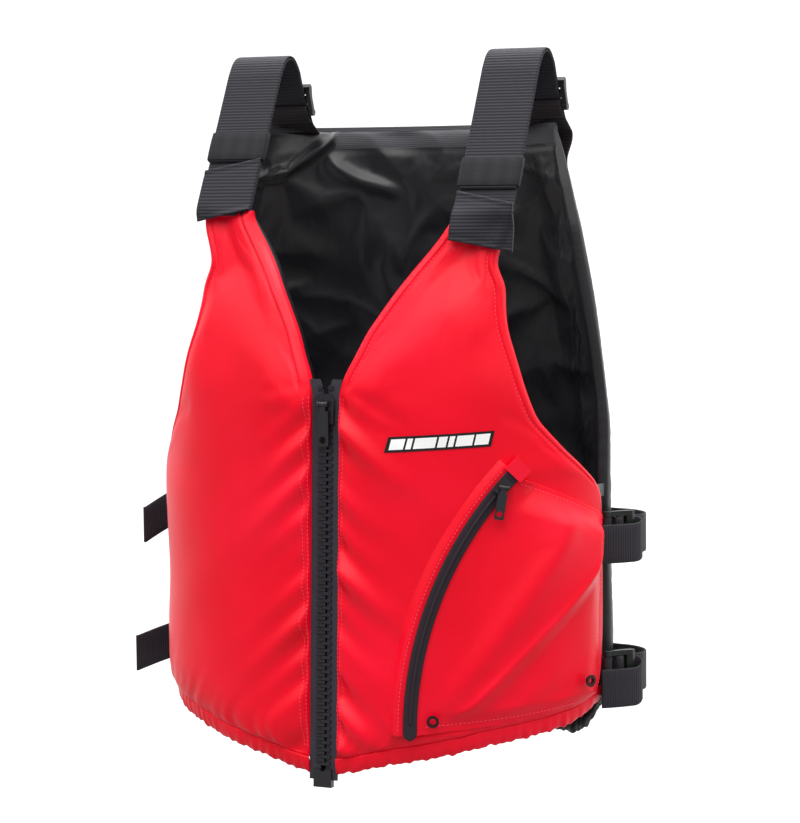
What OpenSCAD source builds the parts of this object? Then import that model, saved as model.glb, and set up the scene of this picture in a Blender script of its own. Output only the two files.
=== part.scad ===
// Front-zip buoyancy vest: foam-filled front and back panels, a curved-zip
// chest pocket, webbing shoulder straps and webbing side straps.
// The front faces -Y, +X is the wearer's left, +Z is up, and the origin is
// on the torso centreline at the height of the zip's lower end.

/* [Body] */
// Half width of the vest at the panel seams, mm
body_half_w = 190; // [160:1:230]
// Depth from the torso centre to the front seam surface at the hem, mm
front_depth = 132; // [110:1:160]
// Depth from the torso centre to the back seam surface at the hem, mm
back_depth = 104; // [90:1:130]
// Height of the top edge of the front panels, mm
front_top = 455; // [420:1:500]
// Height of the top edge of the back panel, mm
back_top = 530; // [500:1:545]
// Height where the armhole meets the side panel, mm
armhole_low = 232; // [215:1:250]
// How far the zip line leans back from its foot to its top, mm
zip_lean = 14; // [6:1:20]
// How far the upper chest falls back above the zip, mm
chest_fall = 32; // [20:1:40]
// Half width of the back panel at its top edge, mm
back_top_half_w = 160; // [145:1:175]

/* [Padding] */
// How far a front panel puffs out beyond its seams, mm
front_puff_out = 10; // [6:0.5:14]
// How far a front panel puffs in towards the body, mm
front_puff_in = 22; // [14:0.5:28]
// How far the back panel puffs to each side of its seams, mm
back_puff = 11; // [8:0.5:16]
// Width over which a padded panel rounds down to its seam, mm
edge_round = 28; // [20:1:40]
// Thickness of a seam, mm
seam_t = 3; // [2.4:0.1:4]
// Fabric wall of a cover, mm
cover_wall = 1.2; // [1:0.1:1.8]
// Clear gap between foam and cover, mm
foam_gap = 0.5; // [0.3:0.1:1]
// Height of the gathered hem band, mm
hem_h = 12; // [8:0.5:16]

/* [Main zip] */
// Height of the top of the zip, mm
zip_top = 317; // [280:1:345]
// Half width of the gap between the front panels, mm
zip_gap = 12; // [11:0.5:14]
// Thickness of the zip tape, mm
tape_t = 1.2; // [1:0.1:1.6]
// Pitch of the teeth on one tape, mm
tooth_pitch = 5.8; // [5.4:0.1:6.4]
// Height of one tooth along the zip, mm
tooth_h = 2.5; // [2.2:0.1:2.6]
// Thickness of a tooth through the tape, mm
tooth_t = 4.4; // [3.8:0.1:4.8]
// Length of the slider, mm
slider_len = 24; // [20:1:28]
// Length of the zip pull, mm
pull_len = 34; // [26:1:40]

/* [Pocket] */
// Yaw of the flat arc that the pocket zip lies in, degrees
pocket_yaw = 30; // [26:1:34]
// Radius of the pocket zip's arc, mm
pocket_r = 300; // [280:1:330]
// Sideways place of the arc's centre in its plane, mm
pocket_cx = 300.5; // [290:0.5:320]
// Height of the arc's centre, mm
pocket_cz = 42; // [36:1:48]
// Puff of the pocket panel, mm
pocket_puff = 10; // [6:0.5:12]
// Width of the pocket zip's tape, mm
pocket_tape_w = 14; // [12:0.5:18]
// Wall radius of the drain eyelets' holes, mm
eyelet_r = 2.6; // [2:0.1:3]
// Length of the drain eyelets' bores, mm
eyelet_len = 3; // [2.4:0.1:4]

/* [Shoulder straps] */
// Width of the shoulder webbing, mm
strap_w = 50; // [38:1:52]
// Distance of each shoulder strap from the centreline, mm
strap_x = 118; // [110:1:122]
// Thickness of all webbing, mm
web_t = 1.5; // [1.2:0.1:1.8]
// Gap between two webbing layers, mm
web_gap = 0.5; // [0.4:0.1:0.8]
// Length of the strap keepers, mm
keeper_len = 26; // [20:1:30]

/* [Side straps] */
// Width of the side webbing, mm
side_w = 32; // [25:1:38]
// Height of the upper side straps, mm
side_hi = 192; // [180:1:205]
// Height of the lower side straps, mm
side_lo = 76; // [72:1:90]

/* [Buckles] */
// Radius of a buckle's bars, mm
bar_r = 2; // [1.6:0.1:2.2]
// Running gap between a bar and webbing, mm
bar_gap = 0.4; // [0.3:0.05:0.6]
// Distance between the two bars of a buckle, mm
bar_step = 11; // [10.5:0.1:13]
// Thickness of a buckle's side rails, mm
rail_t = 4; // [3:0.1:5]

/* [Hidden] */
$fn = 48;

// ---- small helpers ----
function mix(a, b, t) = a + (b - a) * t;
function clamp01(t) = max(0, min(1, t));
function smooth(t) = let (k = clamp01(t)) k * k * (3 - 2 * k);
// Quarter-round rise from 0 at an edge to 1 at distance r
function puff(d, r) = let (s = clamp01(d / r)) sqrt(max(0, 1 - (1 - s) * (1 - s)));
function unit(v) = v / norm(v);
function rot90(v) = [-v[1], v[0]];

// ---- front form: an upright ellipse whose depth shrinks with height ----
front_side = 88;
function front_b(z) = front_depth - zip_lean * z / zip_top
  - chest_fall * smooth((z - zip_top + 17) / 160);
function front_pt(phi, z) = [body_half_w * sin(phi), -front_b(z) * cos(phi), z];
function front_n(phi, z) = unit([front_b(z) * sin(phi), -body_half_w * cos(phi), 0]);
function front_mm(phi, z) = PI / 180
  * norm([body_half_w * cos(phi), front_b(z) * sin(phi)]);

// Neck edge: distance from the centreline against height above the zip
neck_line = [[0, zip_gap], [0.1, 16], [0.17, 21], [0.34, 31], [0.52, 46], [0.7, 62],
  [0.87, 79], [1, 91]];
// Armhole edge: angle round the form against height above the side panel
armhole_line = [[0, front_side], [0.1, 75.7], [0.16, 68.2], [0.27, 58], [0.38, 54],
  [0.49, 50.7], [0.6, 47.2], [0.7, 45], [0.81, 43.4], [0.92, 45], [1, 46.7]];
// Hem height against angle round the form
hem_line = [[0, 4], [7, 7], [15, 14], [31, 23], [43, 31], [72, 43], [90, 57]];

function phi_in(z) = asin(lookup(clamp01((z - zip_top) / (front_top - zip_top)), neck_line)
  / body_half_w);
function phi_out(z) = lookup(clamp01((z - armhole_low) / (front_top - armhole_low)),
  armhole_line);
function hem_z(phi) = lookup(abs(phi), hem_line);
function front_w(phi, z) = let (
    mm = front_mm(phi, z),
    du = min(phi - phi_in(z), phi_out(z) - phi) * mm,
    dv = min(z - hem_z(phi) - hem_h, (front_top - z) * 0.6))
  puff(du, edge_round) * puff(dv, edge_round);
function front_hi(phi, z) = seam_t / 2 + front_puff_out * front_w(phi, z);
function front_lo(phi, z) = -seam_t / 2 - front_puff_in * front_w(phi, z);
function front_out(phi, z, d) = front_pt(phi, z) + front_n(phi, z) * (front_hi(phi, z) + d);

// Panel grid: u runs from the zip to the side, v from the hem to the top
front_us = [0, 0.025, 0.08, 0.18, 0.34, 0.5, 0.66, 0.82, 0.92, 0.975, 1];
front_vs = [0, 0.018, 0.055, 0.12, 0.22, 0.32, 0.42, 0.5, 0.545, 0.6, 0.66, 0.73, 0.8,
  0.87, 0.935, 0.975, 1];
function front_z(u, v) = mix(hem_z(mix(phi_in(0), front_side, u)) + hem_h, front_top, v);
function front_phi(u, v) = let (z = front_z(u, v)) mix(phi_in(z), phi_out(z), u);
function inner(list) = [for (i = [1 : len(list) - 2]) list[i]];

// ---- back form ----
back_side = 78;
function back_a(z) = mix(body_half_w + 2 * smooth((z - armhole_low) / 60),
  back_top_half_w, smooth((z - armhole_low - 38) / 260));
function back_b(z) = back_depth - 16 * smooth((z - 250) / 280);
function back_pt(phi, z) = [back_a(z) * sin(phi), back_b(z) * cos(phi), z];
function back_n(phi, z) = unit([back_b(z) * sin(phi), back_a(z) * cos(phi), 0]);
function back_mm(phi, z) = PI / 180 * norm([back_a(z) * cos(phi), back_b(z) * sin(phi)]);
// Edge angle of the back panel against height above the side panel
back_line = [[0, back_side], [0.12, 75.5], [0.25, 73.5], [0.72, 72], [0.84, 67.5], [0.94, 62],
  [1, 58]];
function back_edge(z) = lookup(clamp01((z - armhole_low) / (back_top - armhole_low)),
  back_line);
function back_hem_z(phi) = 10 + 45 * smooth((abs(phi) - 46) / 34);
function back_w(phi, z) = let (
    du = (back_edge(z) - abs(phi)) * back_mm(phi, z),
    dv = min(z - back_hem_z(phi) - hem_h, (back_top - z) * 0.7))
  puff(du, edge_round) * puff(dv, edge_round);
function back_hi(phi, z) = seam_t / 2 + back_puff * back_w(phi, z);
function back_out(phi, z, d) = back_pt(phi, z) + back_n(phi, z) * (back_hi(phi, z) + d);
back_us = [-1, -0.985, -0.94, -0.87, -0.74, -0.6, -0.4, -0.2, 0, 0.2, 0.4, 0.6, 0.74, 0.87,
  0.94, 0.985, 1];
back_vs = [0, 0.015, 0.05, 0.11, 0.2, 0.3, 0.4, 0.47, 0.54, 0.62, 0.7, 0.78, 0.85, 0.92,
  0.965, 0.99, 1];
function back_z(u, v) = mix(back_hem_z(u * back_side) + hem_h, back_top, v);
function back_phi(u, v) = u * back_edge(back_z(u, v));

// ---- solids ----
// Closed slab between two sheets of points on one grid; u runs right and v
// up as seen from the side that the high sheet faces.
module slab(hi, lo) {
  nu = len(hi);
  nv = len(hi[0]);
  n = nu * nv;
  pts = concat([for (r = hi) each r], [for (r = lo) each r]);
  a = function(i, j) i * nv + j;
  top = [for (i = [0 : nu - 2], j = [0 : nv - 2])
    each [[a(i, j), a(i, j + 1), a(i + 1, j + 1)], [a(i, j), a(i + 1, j + 1), a(i + 1, j)]]];
  low = [for (f = top) [f[0] + n, f[2] + n, f[1] + n]];
  rim = concat(
    [for (i = [0 : nu - 2]) each [[a(i, 0), a(i + 1, 0), a(i + 1, 0) + n],
      [a(i, 0), a(i + 1, 0) + n, a(i, 0) + n]]],
    [for (i = [0 : nu - 2]) each [[a(i + 1, nv - 1), a(i, nv - 1), a(i, nv - 1) + n],
      [a(i + 1, nv - 1), a(i, nv - 1) + n, a(i + 1, nv - 1) + n]]],
    [for (j = [0 : nv - 2]) each [[a(0, j + 1), a(0, j), a(0, j) + n],
      [a(0, j + 1), a(0, j) + n, a(0, j + 1) + n]]],
    [for (j = [0 : nv - 2]) each [[a(nu - 1, j), a(nu - 1, j + 1), a(nu - 1, j + 1) + n],
      [a(nu - 1, j), a(nu - 1, j + 1) + n, a(nu - 1, j) + n]]]);
  polyhedron(points = pts, faces = concat(top, low, rim), convexity = 8);
}
function front_sheet(us, vs, off) = [for (u = us) [for (v = vs)
  let (p = front_phi(u, v), z = front_z(u, v)) front_pt(p, z) + front_n(p, z) * off(p, z)]];
// The back's u runs to the wearer's left, so its high sheet is the inner one
function back_sheet(us, vs, off) = [for (u = us) [for (v = vs)
  let (p = back_phi(u, v), z = back_z(u, v)) back_pt(p, z) + back_n(p, z) * off(p, z)]];

// Flat strip of thickness t along a 2-D path
function path_n(p, i) = let (n = len(p))
  rot90(unit(p[min(i + 1, n - 1)] - p[max(i - 1, 0)]));
function shifted(p, d) = [for (i = [0 : len(p) - 1]) p[i] + path_n(p, i) * d];
module strip(p, t) {
  up = shifted(p, t / 2);
  dn = shifted(p, -t / 2);
  n = len(p);
  polygon(concat(up, [for (i = [0 : n - 1]) dn[n - 1 - i]]));
}
function arc(c, r, a0, a1, n) = [for (i = [0 : n])
  c + r * [cos(mix(a0, a1, i / n)), sin(mix(a0, a1, i / n))]];
function bend(p, k) = k == 0 ? p : bend(concat([p[0]],
  [for (i = [0 : len(p) - 2]) each [mix(p[i], p[i + 1], 0.25), mix(p[i], p[i + 1], 0.75)]],
  [p[len(p) - 1]]), k - 1);
module wearer(side) {
  if (side < 0) mirror([1, 0, 0]) children();
  else children();
}

// ---- padded panels ----
module front_cover(side) {
  ius = inner(front_us);
  ivs = inner(front_vs);
  wearer(side) difference() {
    slab(front_sheet(front_us, front_vs, function(p, z) front_hi(p, z)),
      front_sheet(front_us, front_vs, function(p, z) front_lo(p, z)));
    slab(front_sheet(ius, ivs, function(p, z) front_hi(p, z) - cover_wall),
      front_sheet(ius, ivs, function(p, z) front_lo(p, z) + cover_wall));
  }
}
// Each foam slab stops one grid step short of its cover's own cavity
foam_us = inner(inner(front_us));
foam_vs = inner(inner(front_vs));
module front_foam(side) {
  g = cover_wall + foam_gap;
  wearer(side) slab(front_sheet(foam_us, foam_vs, function(p, z) front_hi(p, z) - g),
    front_sheet(foam_us, foam_vs, function(p, z) front_lo(p, z) + g));
}
module back_cover() {
  ius = inner(back_us);
  ivs = inner(back_vs);
  g = cover_wall;
  difference() {
    slab(back_sheet(back_us, back_vs, function(p, z) -back_hi(p, z)),
      back_sheet(back_us, back_vs, function(p, z) back_hi(p, z)));
    slab(back_sheet(ius, ivs, function(p, z) g - back_hi(p, z)),
      back_sheet(ius, ivs, function(p, z) back_hi(p, z) - g));
  }
}
module back_foam() {
  us = inner(inner(back_us));
  vs = inner(inner(back_vs));
  g = cover_wall + foam_gap;
  slab(back_sheet(us, vs, function(p, z) g - back_hi(p, z)),
    back_sheet(us, vs, function(p, z) back_hi(p, z) - g));
}

// ---- hems, side panels and bindings ----
module front_hem(side) {
  hus = [for (i = [0 : 12]) i / 12];
  hvs = [0, 0.2, 0.5, 0.8, 1];
  s = function(k) [for (u = hus) [for (v = hvs) let (
      p = mix(phi_in(0), front_side, u),
      z = hem_z(p) + v * (hem_h + 0.6),
      d = k * (1.2 + 2.6 * puff(0.5 - abs(v - 0.5), 0.5)))
    front_pt(p, z) + front_n(p, z) * d]];
  wearer(side) slab(s(1), s(-1));
}
module back_hem() {
  hus = [for (i = [-12 : 12]) i / 12];
  hvs = [0, 0.2, 0.5, 0.8, 1];
  s = function(k) [for (u = hus) [for (v = hvs) let (
      p = u * back_side,
      z = back_hem_z(p) + v * (hem_h + 0.6),
      d = k * (1.2 + 2.6 * puff(0.5 - abs(v - 0.5), 0.5)))
    back_pt(p, z) + back_n(p, z) * d]];
  slab(s(-1), s(1));
}
// A side panel spans from the front panel's edge to the back panel's edge
panel_low = 62;
panel_top = armhole_low - 6;
function side_sheet(d, vs) = [for (k = [0 : 6]) [for (v = vs) let (
    z = mix(panel_low, panel_top, v),
    a = front_pt(front_side, z),
    b = back_pt(back_side, z),
    q = mix(a, b, mix(-0.04, 1.04, k / 6)))
  q + [1, 0.15, 0] * (d - 2 * sin(180 * clamp01(k / 6)))]];
module side_panel(side) {
  vs = [0, 0.25, 0.5, 0.75, 1];
  wearer(side) slab(side_sheet(0.75, vs), side_sheet(-0.75, vs));
}
module side_binding(side) {
  vs = [1 - 3 / (panel_top - panel_low), 1 + 7 / (panel_top - panel_low)];
  wearer(side) slab(side_sheet(1.7, vs), side_sheet(-1.7, vs));
}
module back_binding() {
  vs = [0, 0.5, 1];
  s = function(k) [for (u = back_us) [for (v = vs) let (
      z = back_top - 5 + 8 * v,
      p = u * back_edge(min(z, back_top)))
    back_pt(p, z) + back_n(p, z) * k * (1.6 + 1.4 * sin(180 * v))]];
  slab(s(-1), s(1));
}

// ---- main zip ----
// The zip frame lies on the seam surface: local x across, y into the body
// and z up along the leaning zip line.
zip_tilt = atan(zip_lean / zip_top);
zip_len = zip_top / cos(zip_tilt);
module zip_frame() {
  translate([0, -front_depth, 0]) rotate([-zip_tilt, 0, 0]) children();
}
teeth_low = 12;
teeth_top = zip_len - slider_len / 2 - 3;
slider_z = teeth_top;
tooth_n = floor((teeth_top - teeth_low) / tooth_pitch);
bridge_w = 4;
tape_x = bridge_w / 2 + 0.4;
tape_in = 0.5;
module zip_tape(side) {
  w = zip_gap + tape_in - tape_x;
  wearer(side) zip_frame() {
    translate([tape_x, -tape_t / 2, 0]) cube([w, tape_t, zip_len]);
    translate([tape_x, tape_t / 2, zip_len]) rotate([90, 0, 0]) linear_extrude(tape_t)
      polygon([[0, 0], [w, 0], [w + 2.2, 9], [3.2, 9]]);
  }
}
module zip_teeth(side) {
  shift = side > 0 ? 0 : tooth_pitch / 2;
  wearer(side) zip_frame() for (i = [0 : tooth_n - 1]) {
    translate([-1.5, -tooth_t / 2, teeth_low + i * tooth_pitch + shift]) difference() {
      cube([8, tooth_t, tooth_h]);
      translate([tape_x + 1.5, tooth_t / 2 - tape_t / 2, -1]) cube([9, tape_t, tooth_h + 2]);
    }
  }
}
module zip_box() {
  zip_frame() difference() {
    translate([-8, -2.8, -6]) cube([16, 5.6, 15]);
    translate([0, -3, 9]) rotate([-90, 0, 0]) cylinder(r = 2.2, h = 6);
    for (s = [0, 1]) mirror([s, 0, 0]) translate([tape_x - 0.1, -tape_t / 2 - 0.1, -0.2])
      cube([zip_gap, tape_t + 0.2, 10]);
  }
}
module zip_stops() {
  for (side = [-1, 1]) wearer(side) zip_frame()
    translate([tape_x, -2, zip_len + 0.6]) difference() {
      cube([4.4, 4, 3]);
      translate([-1, 2 - tape_t / 2 - 0.1, -1]) cube([7, tape_t + 0.2, 5]);
    }
}
plate_gap = 0.5;
plate_t = 1.4;
slider_face = tooth_t / 2 + plate_gap + plate_t;
module slider_plate(w0, w1, len) {
  linear_extrude(plate_t) polygon([[-w0, -len / 2], [w0, -len / 2], [w0 + 0.8, -len / 4],
    [w1, len / 2 - 4], [w1 - 3, len / 2], [-w1 + 3, len / 2], [-w1, len / 2 - 4],
    [-w0 - 0.8, -len / 4]]);
}
pull_axis_z = slider_z + 4;
pull_off = slider_face + 2.6;
pin_r = 0.9;
module zip_slider() {
  zip_frame() {
    for (k = [0, 1]) mirror([0, k, 0]) translate([0, -slider_face + plate_t, slider_z])
      rotate([90, 0, 0]) slider_plate(7.2, 9, slider_len);
    translate([-bridge_w / 2, -slider_face + 0.2, slider_z + 4.2])
      cube([bridge_w, 2 * slider_face - 0.4, slider_len / 2 - 4.2]);
    for (s = [-1, 1]) for (k = [-1, 1])
      translate([s > 0 ? 7.1 : -8.3, k > 0 ? tape_t / 2 + 0.6 : -slider_face + 0.2,
        slider_z - slider_len / 2 + 0.2])
        cube([1.2, slider_face - tape_t / 2 - 0.8, slider_len * 0.55]);
    for (s = [-1, 1]) translate([s > 0 ? 3 : -4.4, 0, 0]) {
      translate([0, -pull_off, pull_axis_z]) rotate([0, 90, 0]) cylinder(r = 2.4, h = 1.4);
      translate([0, -pull_off, pull_axis_z - 2.4])
        cube([1.4, pull_off - slider_face + 0.2, 4.8]);
    }
    translate([-3.2, -pull_off, pull_axis_z]) rotate([0, 90, 0]) cylinder(r = pin_r, h = 6.4);
  }
}
// A flat pull with an eye round the pin; local z is down its length
module pull_shape(len, w, t, eye_r, hole_r) {
  difference() {
    union() {
      translate([-2.6, 0, 0]) rotate([0, 90, 0]) cylinder(r = eye_r, h = 5.2);
      translate([-2.6, -t / 2, -6]) cube([5.2, t, 6]);
      translate([-w / 2, -t / 2, -len]) cube([w, t, len - 5.5]);
    }
    translate([-4, 0, 0]) rotate([0, 90, 0]) cylinder(r = pin_r + 0.25, h = 8);
    translate([0, -t, -len + hole_r + 2]) rotate([-90, 0, 0]) cylinder(r = hole_r, h = 2 * t);
  }
}
module zip_pull() {
  zip_frame() translate([0, -pull_off, pull_axis_z]) rotate([zip_tilt, 0, 0])
    pull_shape(pull_len, 10, 2, 2.1, 3);
}

// ---- pocket: its zip is a flat circular arc standing just off the cover ----
function pocket_s(a, r) = pocket_cx + r * cos(a);
function pocket_z(a, r) = pocket_cz + r * sin(a);
plane_n = [sin(pocket_yaw), -cos(pocket_yaw), 0];
plane_e = [cos(pocket_yaw), sin(pocket_yaw), 0];
// Angle round the form at sideways plane place s and height z
function phi_at(s, z) = let (
    g = seam_t / 2 + front_puff_out,
    ax = (body_half_w + g) * cos(pocket_yaw),
    by = (front_b(z) + g) * sin(pocket_yaw))
  atan2(by, ax) + asin(s / norm([ax, by]));
function plane_dist(p, z) = front_out(p, z, 0) * plane_n;
zip_a0 = 180;
zip_a1 = 136;
// The plane clears the cover under the whole arc
pocket_d = 3 + max([for (a = [zip_a1 : 4 : zip_a0]) let (z = pocket_z(a, pocket_r))
  plane_dist(phi_at(pocket_s(a, pocket_r), z), z)]);
// Distance along the form's normal from the seam surface to the arc's plane
function plane_level(p, z) = (pocket_d - front_pt(p, z) * plane_n) / (front_n(p, z) * plane_n);
pocket_us = [0, 0.07, 0.14, 0.24, 0.36, 0.5, 0.64, 0.78, 0.89, 0.96, 1];
pocket_vs = [0, 0.04, 0.1, 0.2, 0.32, 0.45, 0.58, 0.7, 0.81, 0.9, 0.96, 1];
flange = pocket_tape_w / 2 + 1;
function pocket_cell(u, v) = let (
    a = mix(zip_a0, zip_a1, v),
    r = pocket_r + flange - 2 * flange * min(1, u / 0.07),
    zl = pocket_z(a, r),
    pl = phi_at(pocket_s(a, r), zl),
    k = max(0, (u - 0.07) / 0.93),
    zr = mix(62, armhole_low + 2, v),
    z = mix(zl, zr, k),
    p = mix(pl, min(front_side - 2.5, phi_out(zr) - 2), k))
  [p, z, k * (front_side - pl) * front_mm(p, z)];
function pocket_top(u, v) = let (
    c = pocket_cell(u, v),
    rise = smooth(c[2] / 70),
    rim = puff(min((1 - u) * 90, v * 120, (1 - v) * 90), 22))
  mix(plane_level(c[0], c[1]) - tape_t / 2 - 0.4,
    front_hi(c[0], c[1]) + 2.2 + pocket_puff * rim, rise);
function pocket_sheet(off) = [for (u = pocket_us) [for (v = pocket_vs)
  let (c = pocket_cell(u, v)) front_pt(c[0], c[1]) + front_n(c[0], c[1]) * off(u, v, c)]];
flange_r = 5;
module eyelet_place(phi, z, lift) {
  p = front_out(phi, z, lift);
  n = front_n(phi, z);
  translate(p) rotate([0, 90, atan2(n[1], n[0])]) children();
}
eyelets = [[28.5, 55, 8.2], [73, 80, 9.6]];
module pocket_panel() {
  difference() {
    slab(pocket_sheet(function(u, v, c) pocket_top(u, v)),
      pocket_sheet(function(u, v, c) front_hi(c[0], c[1]) - 0.8));
    for (e = eyelets) eyelet_place(e[0], e[1], e[2]) {
      translate([0, 0, -eyelet_len - 0.2]) cylinder(r = eyelet_r + 1.5, h = 30);
      translate([0, 0, -1.2]) cylinder(r = flange_r + 0.3, h = 30);
    }
  }
}
module eyelet(e) {
  eyelet_place(e[0], e[1], e[2]) difference() {
    union() {
      translate([0, 0, -eyelet_len]) cylinder(r = eyelet_r + 1.2, h = eyelet_len);
      translate([0, 0, -1]) cylinder(r = flange_r, h = 1);
    }
    translate([0, 0, -eyelet_len - 1]) cylinder(r = eyelet_r, h = eyelet_len + 2);
  }
}
// Arc frame: local x sideways in the plane, y up, z out of the plane
module pocket_frame() {
  rotate([90, 0, pocket_yaw]) translate([pocket_cx, pocket_cz, pocket_d]) children();
}
coil_r = 1.6;
module arc_band(r0, r1, z0, z1, a0, a1) {
  rotate([0, 0, a0]) rotate_extrude(angle = a1 - a0, $fn = 360)
    translate([r0, z0]) square([r1 - r0, z1 - z0]);
}
module pocket_tape() {
  h = pocket_tape_w / 2;
  pocket_frame() arc_band(pocket_r - h, pocket_r + h, -tape_t / 2, tape_t / 2,
    zip_a1, zip_a0 - 1);
}
slider_a = zip_a1 + 2.2;
module pocket_coil() {
  pocket_frame() rotate([0, 0, slider_a + 1.8])
    rotate_extrude(angle = zip_a0 - slider_a - 4, $fn = 360)
      translate([pocket_r, tape_t / 2 + coil_r * 0.75]) circle(r = coil_r * 0.75, $fn = 16);
}
// The garage is a small folded tab over the zip's upper end
module pocket_garage() {
  h = pocket_tape_w / 2;
  pocket_frame() arc_band(pocket_r - h - 1, pocket_r + h + 1, -tape_t / 2 - 2.5, 2.6,
    zip_a1 - 2.6, zip_a1 - 0.05);
}
ps_face = 5;
pocket_hang = -100;
module ps_frame() {
  pocket_frame() rotate([0, 0, slider_a]) translate([pocket_r, 0, 0]) children();
}
pp_z = ps_face + 1.7;
module pocket_slider() {
  ps_frame() {
    translate([-4.6, -7, tape_t / 2 + 0.5]) cube([9.2, 14, 0.7]);
    translate([-4.6, -7, ps_face - 1.2]) cube([9.2, 14, 1.2]);
    translate([-1, -6.8, tape_t / 2 + 0.5]) cube([2, 3.6, ps_face - tape_t / 2 - 0.6]);
    rotate([0, 0, pocket_hang - slider_a]) {
      for (s = [-1, 1]) translate([0, s > 0 ? 3 : -4.2, 0]) {
        translate([0, 0, pp_z]) rotate([-90, 0, 0]) cylinder(r = 2, h = 1.2);
        translate([-2, 0, ps_face - 0.3]) cube([4, 1.2, pp_z - ps_face + 0.3]);
      }
      translate([0, -3.2, pp_z]) rotate([-90, 0, 0]) cylinder(r = 0.75, h = 6.4);
    }
  }
}
module pocket_pull() {
  ps_frame() rotate([0, 0, pocket_hang - slider_a]) translate([0, 0, pp_z]) difference() {
    union() {
      translate([0, -2.6, 0]) rotate([-90, 0, 0]) cylinder(r = 1.7, h = 5.2);
      translate([0, -2.6, -0.8]) cube([6, 5.2, 1.6]);
      translate([5, -3.8, -0.8]) cube([21, 7.6, 1.6]);
    }
    translate([0, -4, 0]) rotate([-90, 0, 0]) cylinder(r = 1, h = 8);
    translate([21.5, 0, -2]) cylinder(r = 2.3, h = 4);
  }
}

// Plain slanted transfer on the wearer's left chest
module label_patch() {
  s = function(d) [for (u = [0 : 0.125 : 1]) [for (v = [0, 0.5, 1]) let (
      p = mix(16.6, 43.5, u),
      z = mix(269, 274, u) + mix(0, 12, v))
    front_out(p, z, d)]];
  slab(s(1.1), s(0.2));
}

// ---- buckles: local x from anchor bar to lip, y outwards, z across ----
bar_len_gap = 1;
lip_x = bar_step + 6;
module ladder_lock(w) {
  half = w / 2 + bar_len_gap;
  for (s = [-1, 1]) translate([0, 0, s > 0 ? half : -half - rail_t])
    linear_extrude(rail_t) {
      circle(r = bar_r + 1);
      translate([0, -bar_r]) square([lip_x + 3, 2 * bar_r]);
      polygon([[lip_x, -bar_r], [lip_x + 6.5, -0.6], [lip_x + 8, 3], [lip_x + 5, 4.4],
        [lip_x - 4, bar_r]]);
    }
  for (x = [0, bar_step]) translate([x, 0, -half - 0.5]) cylinder(r = bar_r, h = 2 * half + 1);
  translate([0, 0, -half - 0.5]) linear_extrude(2 * half + 1)
    polygon([[lip_x, -1.2], [lip_x + 6.5, -0.6], [lip_x + 8, 3], [lip_x + 5, 4.4],
      [lip_x + 1, 1.8]]);
}
loop_r = bar_r + bar_gap + web_t / 2;
// Lower layer, round the second bar, then out under the lip
lay_in = -loop_r - web_t;
lay_out = lay_in + web_t + web_gap;
thread_end = lip_x + 11;
function thread_path(tail) = concat(
  [[thread_end, lay_in], [lip_x - 1, lay_in], [bar_step + 2, lay_in + 0.55]],
  arc([bar_step, 0], loop_r, -90, -270, 14),
  [[bar_step + 2.2, loop_r - 0.9], [bar_step + 3.9, 0.6], [lip_x - 1.3, lay_out + 0.7],
    [lip_x + 0.6, lay_out]],
  tail);
module thread(w, tail) {
  translate([0, 0, -w / 2]) linear_extrude(w) strip(thread_path(tail), web_t);
}

// ---- shoulder straps, drawn in the (y, z) plane and extruded across ----
anchor_y = 46;
anchor_z = back_top + 16;
lean = 111;
sh_l = [cos(lean), sin(lean)];
sh_n = [sin(lean), -cos(lean)];
function sh_pt(l, n) = [anchor_y, anchor_z] + sh_l * l + sh_n * n;
strap_end = thread_end + 1.4;
strap_foot = [-68, front_top + 3];
strap_knee = [-6, back_top + 46];
strap_dir = unit(strap_knee - strap_foot);
base_path = concat([strap_foot],
  bend([strap_knee, [3, back_top + 59], [16, back_top + 62.5], [27, back_top + 52],
    sh_pt(strap_end + 3, lay_in), sh_pt(strap_end, lay_in)], 2));
// The tail lies over the strap and stops just above the anchor
layer = web_t + web_gap;
tail_raw = shifted(base_path, layer);
// The wearer's left strap is let out further, so its lower pieces sit lower
function drop(side) = side > 0 ? 24 : 0;
function on_strap(z) = strap_foot + strap_dir * ((z - strap_foot[1]) / strap_dir[1]);
keeper_z0 = front_top + 60;
anchor_top0 = front_top + 41;
function tail_path(side) = let (
    a = on_strap(anchor_top0 - drop(side) + 6) + rot90(strap_dir) * layer)
  concat([a], [for (i = [1 : len(tail_raw) - 1]) tail_raw[i]]);
module across(x, w) {
  translate([x - w / 2, 0, 0]) rotate([90, 0, 90]) linear_extrude(w) children();
}
module shoulder_strap(side) {
  wearer(side) across(strap_x, strap_w) strip(base_path, web_t);
}
module shoulder_tail(side) {
  wearer(side) across(strap_x, strap_w) strip(tail_path(side), web_t);
}
module at_shoulder(side) {
  wearer(side) translate([strap_x, anchor_y, anchor_z]) rotate([90, 0, 90])
    rotate([0, 0, lean]) mirror([0, 1, 0]) children();
}
module shoulder_buckle(side) {
  at_shoulder(side) ladder_lock(strap_w);
}
module shoulder_thread(side) {
  at_shoulder(side) thread(strap_w, [[thread_end, lay_out]]);
}
function oval_y(a, b, x) = b * sqrt(max(0, 1 - (x / a) * (x / a)));
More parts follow.
